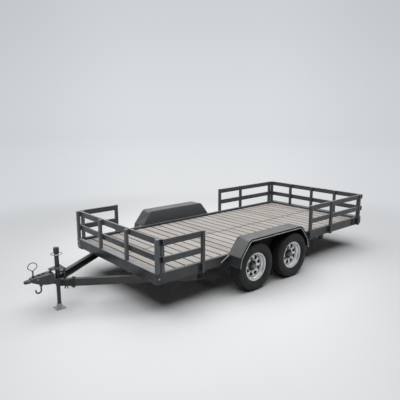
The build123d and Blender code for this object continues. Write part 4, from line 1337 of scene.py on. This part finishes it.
def make_axle_bolts():
    """U-bolts over the axles with nuts under the tie plates."""
    bolts, nuts = bmesh.new(), bmesh.new()
    axle_low, axle_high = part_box("axle_front")
    axle_z, axle_radius = (axle_low.z + axle_high.z) / 2, 0.038
    thread, tail, spread, bend_steps = 0.006, 0.020, 0.030, 8
    reach = axle_radius + thread
    for low, high in solid_boxes("tie_plates"):
        centre = (low + high) / 2
        for y in (centre.y - spread, centre.y + spread):
            chain = [(centre.x - reach, y, low.z - tail)]
            for i in range(bend_steps + 1):
                angle = math.pi * (1 - i / bend_steps)
                chain.append((centre.x + reach * math.cos(angle), y,
                              axle_z + reach * math.sin(angle)))
            chain.append((centre.x + reach, y, low.z - tail))
            add_bent_rod(bolts, chain, thread)
            for x in (centre.x - reach, centre.x + reach):
                add_bolt(nuts, (x, y, low.z + 0.0002), (0, 0, -1), 0.0105)
    finish_piece("axle_u_bolts", bolts, dark_steel)
    finish_piece("axle_u_bolt_nuts", nuts, dark_steel)


def make_hanger_welds():
    """Beads that hold the spring hangers to the side beams."""
    bm = bmesh.new()
    inset, trim = 0.006, 0.004
    for low, high in solid_boxes("spring_hangers"):
        for y in (low.y + inset, high.y - inset):
            add_weld(bm, (low.x + trim, y, high.z - 0.001), (high.x - trim, y, high.z - 0.001),
                     0.003)
    finish_piece("hanger_welds", bm, black_gear, sharp_angle=60.0)


def make_dust_shields():
    """Dished shields behind the drums, fixed to the axles, that close the wheels' backs; their
    black is also painted shade seen through the windows.
    """
    bm = bmesh.new()
    web, lip = (0.118, 0.159, -0.0055, -0.0025), (0.1555, 0.159, -0.0035, 0.012)
    for place in wheel_places:
        low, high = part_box(f"hub_{place}")
        out, _, back = outer_side(low, high)
        for shape in (web, lip):
            add_ring(bm, ((low.x + high.x) / 2, back, (low.z + high.z) / 2), (0, out, 0), *shape,
                     48)
    finish_piece("drum_dust_shields", bm, black_gear)


make_axle_bolts()
make_hanger_welds()
make_dust_shields()


# Rear beam -----------------------------------

lamp_middle = 0.885
lamp_half = 0.095
lamp_half_height = 0.032
end_slot = (0.034, 0.086)
rear_middle_z = (rear_low.z + rear_high.z) / 2


def on_outline(edge):
    """Whether an edge of the rear beam is one of the twelve of its box."""
    start, end = (v.co for v in edge.verts)
    square = [k for k in range(3) if abs((start - end)[k]) < 1e-6]
    return (len(edge.link_faces) == 2 and edge.calc_face_angle(0) > 1.2 and len(square) == 2
            and all(min(abs(place[k] - rear_low[k]), abs(place[k] - rear_high[k])) < 1e-5
                    for place in (start, end) for k in square))


def make_rear_beam():
    """The rear beam with rounded corners, slotted ends and a recess for each lamp."""
    bm = bmesh.new()
    add_block(bm, rear_low, rear_high)
    cut_along(bm, 1, [side * lamp_middle + shift for side in (-1, 1)
                      for shift in (-lamp_half, lamp_half)])
    cut_along(bm, 2, (rear_middle_z - lamp_half_height, rear_middle_z + lamp_half_height))
    cut_along(bm, 0, [rear_low.x + shift for shift in end_slot])
    pockets, slots = [], []
    for face in bm.faces:
        spot = face.calc_center_median()
        if abs(spot.z - rear_middle_z) > 0.01:
            continue
        if face.normal.x < -0.9 and abs(abs(spot.y) - lamp_middle) < 0.01:
            pockets.append(face)
        if abs(face.normal.y) > 0.9 and end_slot[0] < spot.x - rear_low.x < end_slot[1]:
            slots.append(face)
    for faces, depth in ((pockets, -0.026), (slots, -0.012)):
        bmesh.ops.inset_individual(bm, faces=faces, thickness=0.001, depth=depth)
    bevel_edges(bm, [e for e in bm.edges if on_outline(e)], 0.0055, 3)
    piece = finish_piece("rear_beam_box", bm, rear_beam_lit_paint, sharp_angle=30.0)
    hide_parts("rear_beam")


def make_rear_lamps():
    """Oblong rear lamps in rubber grommets, recessed in the rear beam."""
    for name, side in sides.items():
        for part, material, slot, near, far, trim, rise, bevel, segments in (
                ("grommet", rubber, "tyre", 0.004, 0.024, 0.002, 0.002, 0.006, 3),
                ("lens", lamp_red, "hardware", 0.0008, 0.018, 0.012, 0.011, 0.004, 4)):
            bm = bmesh.new()
            half, half_height = lamp_half - trim, lamp_half_height - rise
            add_block(bm, (rear_low.x + near, side * lamp_middle - half,
                           rear_middle_z - half_height),
                      (rear_low.x + far, side * lamp_middle + half,
                       rear_middle_z + half_height), bevel, segments)
            finish_piece(f"lamp_{part}_{name}", bm, material)


def make_plate_bracket():
    """A blank number plate holder hung under the rear beam, with its small lamp."""
    middle_y, half, back = -0.38, 0.155, rear_low.x + 0.030
    bm = bmesh.new()
    for depth, foot, top in ((0.003, 0.315, 0.417), (0.042, 0.4145, 0.4175)):
        add_block(bm, (back, middle_y - half, foot), (back + depth, middle_y + half, top), 0.001, 1)
    for shift in (-0.115, 0.115):
        add_bolt(bm, (back, middle_y + shift, 0.392), (-1, 0, 0), 0.006)
    finish_piece("plate_holder", bm, black_gear)
    bm = bmesh.new()
    add_block(bm, (back - 0.018, middle_y - 0.030, 0.398), (back + 0.001, middle_y + 0.030, 0.4172),
              0.004, 3)
    finish_piece("plate_lamp", bm, black_gear)


make_rear_beam()
make_rear_lamps()
make_plate_bracket()


# Deck screws and front sill ------------------


def make_deck_screws():
    """Two flush screws in each board over every support strip."""
    bm = bmesh.new()
    edge_row, seam_row, head, length, sunk = 0.974, 0.034, 0.0048, 0.008, 0.0006
    rows = sorted({round((low.y + high.y) / 2, 4) for low, high in solid_boxes("deck_strips")})
    rows = [y for y in rows if abs(y) > 0.1] + [-edge_row, -seam_row, seam_row, edge_row]
    for i in range(board_count):
        rear = deck_low.x + i * board_pitch
        for y in rows:
            for share in (0.22, 0.78):
                x = rear + (board_pitch - board_gap) * share
                drift = noise.noise(Vector((x * 9, y * 9, 0.0))) * 0.006
                add_rod(bm, (x + drift, y + drift, deck_high.z - length),
                        (x + drift, y + drift, deck_high.z - sunk), head, 9)
    finish_piece("deck_screws", bm, rusty_screw)


def make_front_sill():
    """A folded steel sill: over the board ends, up the front beam and across its top, pale as
    painted light on the beam's top.
    """
    bm = bmesh.new()
    rear, riser, half = front_low.x - 0.112, front_low.x - 0.0028, deck_high.y
    foot, top, crest = deck_high.z + 0.0003, deck_high.z + 0.0028, front_high.z + 0.0018
    add_block(bm, (rear, -half, foot), (riser, half, top), 0.0009, 1)
    add_block(bm, (riser, -half, foot), (front_low.x - 0.0004, half, crest), 0.0004, 1)
    add_block(bm, (front_low.x - 0.0006, 0.003 - front_high.y, front_high.z + 0.0001),
              (front_high.x - 0.004, front_high.y - 0.003, crest), 0.0006, 1)
    screw_pitch, screw_x = 0.19, rear + 0.022
    for step in range(-5, 6):
        y = step * screw_pitch
        add_rod(bm, (screw_x, y, top - 0.001), (screw_x, y, top + 0.0014), 0.0075, 14, 0.0055)
    finish_piece("front_sill_plate", bm, pale_sill_top_light)


make_deck_screws()
make_front_sill()


# Finish of the carried-over pieces -----------

# A piece's own finish goes before the one of its slot.
finishes = {
    charcoal: ["frame_paint"], silver: ["rim"], rubber: ["tyre"], planks: ["deck_wood"],
    hub_black: ["hub", "jack_clamps"], dark_steel: ["hardware"], black_gear: ["running_gear"],
    front_beam_paint: ["front_beam"], foot_steel: ["jack_foot"], zinc: ["jack_ring"],
    fender_grey: ["fender_left", "fender_right", "fender_braces"], post_grey: ["front_posts"],
    guard_grey: ["front_rails", "side_rails", "rear_rails", "side_posts", "rear_posts"],
    jack_black: ["jack_tube", "jack_leg", "jack_plate"],
    tongue_paint: ["tongue_left", "tongue_right"],
    drum_black_shade: [f"hub_{place}" for place in wheel_places],
}
finish_of = {name: material for material, names in finishes.items() for name in names}
for subpart in frame["record"]["subparts"]:
    own = finish_of.get(subpart["node"], finish_of[subpart["material_slot"]])
    mesh = nodes[subpart["node"]].data
    mesh.materials.clear()
    mesh.materials.append(own)


# Floor, light and camera ---------------------

across_view = (-0.7535, 0.6578, 0.0)
horizon_tint = (0.70, 0.725, 0.745)
side_shade_tint = (0.85, 0.86, 0.87)


def seen_directly(tree):
    """One for rays from the camera, off gloss and through glass, zero for soft light."""
    path = add_node(tree, "ShaderNodeLightPath").outputs
    bounced = math_node(tree, "MAXIMUM", path["Is Glossy Ray"], path["Is Transmission Ray"])
    return math_node(tree, "MAXIMUM", path["Is Camera Ray"], bounced)


def how_far_aside(tree, vector):
    """How far a vector points to either side of the view."""
    return math_node(tree, "ABSOLUTE", vector_node(tree, "DOT_PRODUCT", vector,
                                                   across_view)["Value"])


def painted_side_shade(tree, aside, colour):
    """A background colour, a little darker towards both sides of the view, as painted shade."""
    return blend_colour(tree, ramp(tree, aside, 0.12, 0.48), colour, side_shade_tint, "MULTIPLY")


def mix_shaders(tree, mask, first, second, kind="OUTPUT_MATERIAL"):
    """Two shaders mixed by a mask and put out as the surface."""
    mix = add_node(tree, "ShaderNodeMixShader", Fac=mask)
    feed(tree, mix.inputs[1], first)
    feed(tree, mix.inputs[2], second)
    output = next(n for n in tree.nodes if n.type == kind)
    feed_inputs(tree, output, Surface=mix.outputs[0])


def make_floor():
    """A wide pale floor, brightest in front with painted shade to the sides, paler to the camera
    than the light it bounces, that far away fades into a painted glow of the backdrop's colour.
    """
    bm = bmesh.new()
    bmesh.ops.create_circle(bm, cap_ends=True, segments=96, radius=60.0)
    mesh = bpy.data.meshes.new("studio_floor")
    bm.to_mesh(mesh)
    bm.free()
    floor = bpy.data.objects.new("studio_floor", mesh)
    bpy.context.scene.collection.objects.link(floor)
    material, tree, shader = start_material("pale studio floor", (0.84, 0.85, 0.86), 0.9,
                                            Specular_IOR_Level=0.1)
    place = place_on(tree)
    aside = how_far_aside(tree, place)
    pale = blend_colour(tree, ramp(tree, aside, 0.8, 3.8), (0.89, 0.90, 0.91),
                        (0.70, 0.715, 0.725))
    # Painted light: the camera sees the floor pale, but it bounces light as a mid grey.
    feed_inputs(tree, shader, Base_Color=blend_colour(tree, seen_directly(tree),
                                                      (0.5, 0.505, 0.51), pale))
    far = vector_node(tree, "LENGTH", place)["Value"]
    haze = blend_colour(tree, ramp(tree, far, 5.0, 45.0), (0.755, 0.775, 0.79), horizon_tint)
    slant = math_node(tree, "DIVIDE", aside, math_node(tree, "ADD", far, 6.0))
    # Painted glow: far away the camera sees the floor as light in the backdrop's colour.
    painted_far_glow = add_node(tree, "ShaderNodeEmission", Color=painted_side_shade(tree, slant, haze))
    fade = math_node(tree, "MULTIPLY", ramp(tree, far, 3.4, 7.5), seen_directly(tree))
    mix_shaders(tree, fade, shader.outputs[0], painted_far_glow.outputs[0])
    mesh.materials.append(material)


def make_backdrop():
    """Soft sky light on the object, and the backdrop's colour where it is seen, paler at the
    horizon, with painted shade to the sides.
    """
    world = bpy.data.worlds.new("studio")
    world.use_nodes = True
    bpy.context.scene.world = world
    tree = world.node_tree
    tree.nodes.clear()
    heading = place_on(tree, "Generated")
    sky = blend_colour(tree, ramp(tree, split_axes(tree, heading)["Z"], -0.02, 0.3), horizon_tint,
                       (0.605, 0.63, 0.65))
    shown = add_node(tree, "ShaderNodeBackground",
                     Color=painted_side_shade(tree, how_far_aside(tree, heading), sky))
    soft = add_node(tree, "ShaderNodeBackground", Color=(0.93, 0.96, 1.0, 1.0), Strength=0.02)
    add_node(tree, "ShaderNodeOutputWorld")
    mix_shaders(tree, seen_directly(tree), soft.outputs[0], shown.outputs[0], "OUTPUT_WORLD")


def aimed(name, data, place, ahead):
    """A lamp or camera put in the scene, looking along a direction."""
    thing = bpy.data.objects.new(name, data)
    thing.location = place
    thing.rotation_euler = ahead.to_track_quat("-Z", "Y").to_euler()
    bpy.context.scene.collection.objects.link(thing)
    return thing


def make_softbox():
    """One broad soft light above the trailer."""
    data = bpy.data.lights.new("overhead softbox", "AREA")
    data.shape = "RECTANGLE"
    data.size, data.size_y = 14.0, 12.0
    data.energy = 1110.0
    aimed("overhead softbox", data, (-0.2, -0.5, 7.5), Vector((0, 0, -1)))


def make_camera():
    """The camera, off the left front corner and above the rails."""
    place, yaw, pitch = (4.7017, 5.216, 2.4626), math.radians(41.127), math.radians(11.047)
    ahead = Vector((-math.sin(yaw) * math.cos(pitch), -math.cos(yaw) * math.cos(pitch),
                    -math.sin(pitch)))
    data = bpy.data.cameras.new("camera")
    data.sensor_width = 36.0
    data.lens = 39.81
    bpy.context.scene.camera = aimed("camera", data, place, ahead)


make_floor()
make_backdrop()
make_camera()
make_softbox()
bpy.context.scene.view_settings.view_transform = "Standard"
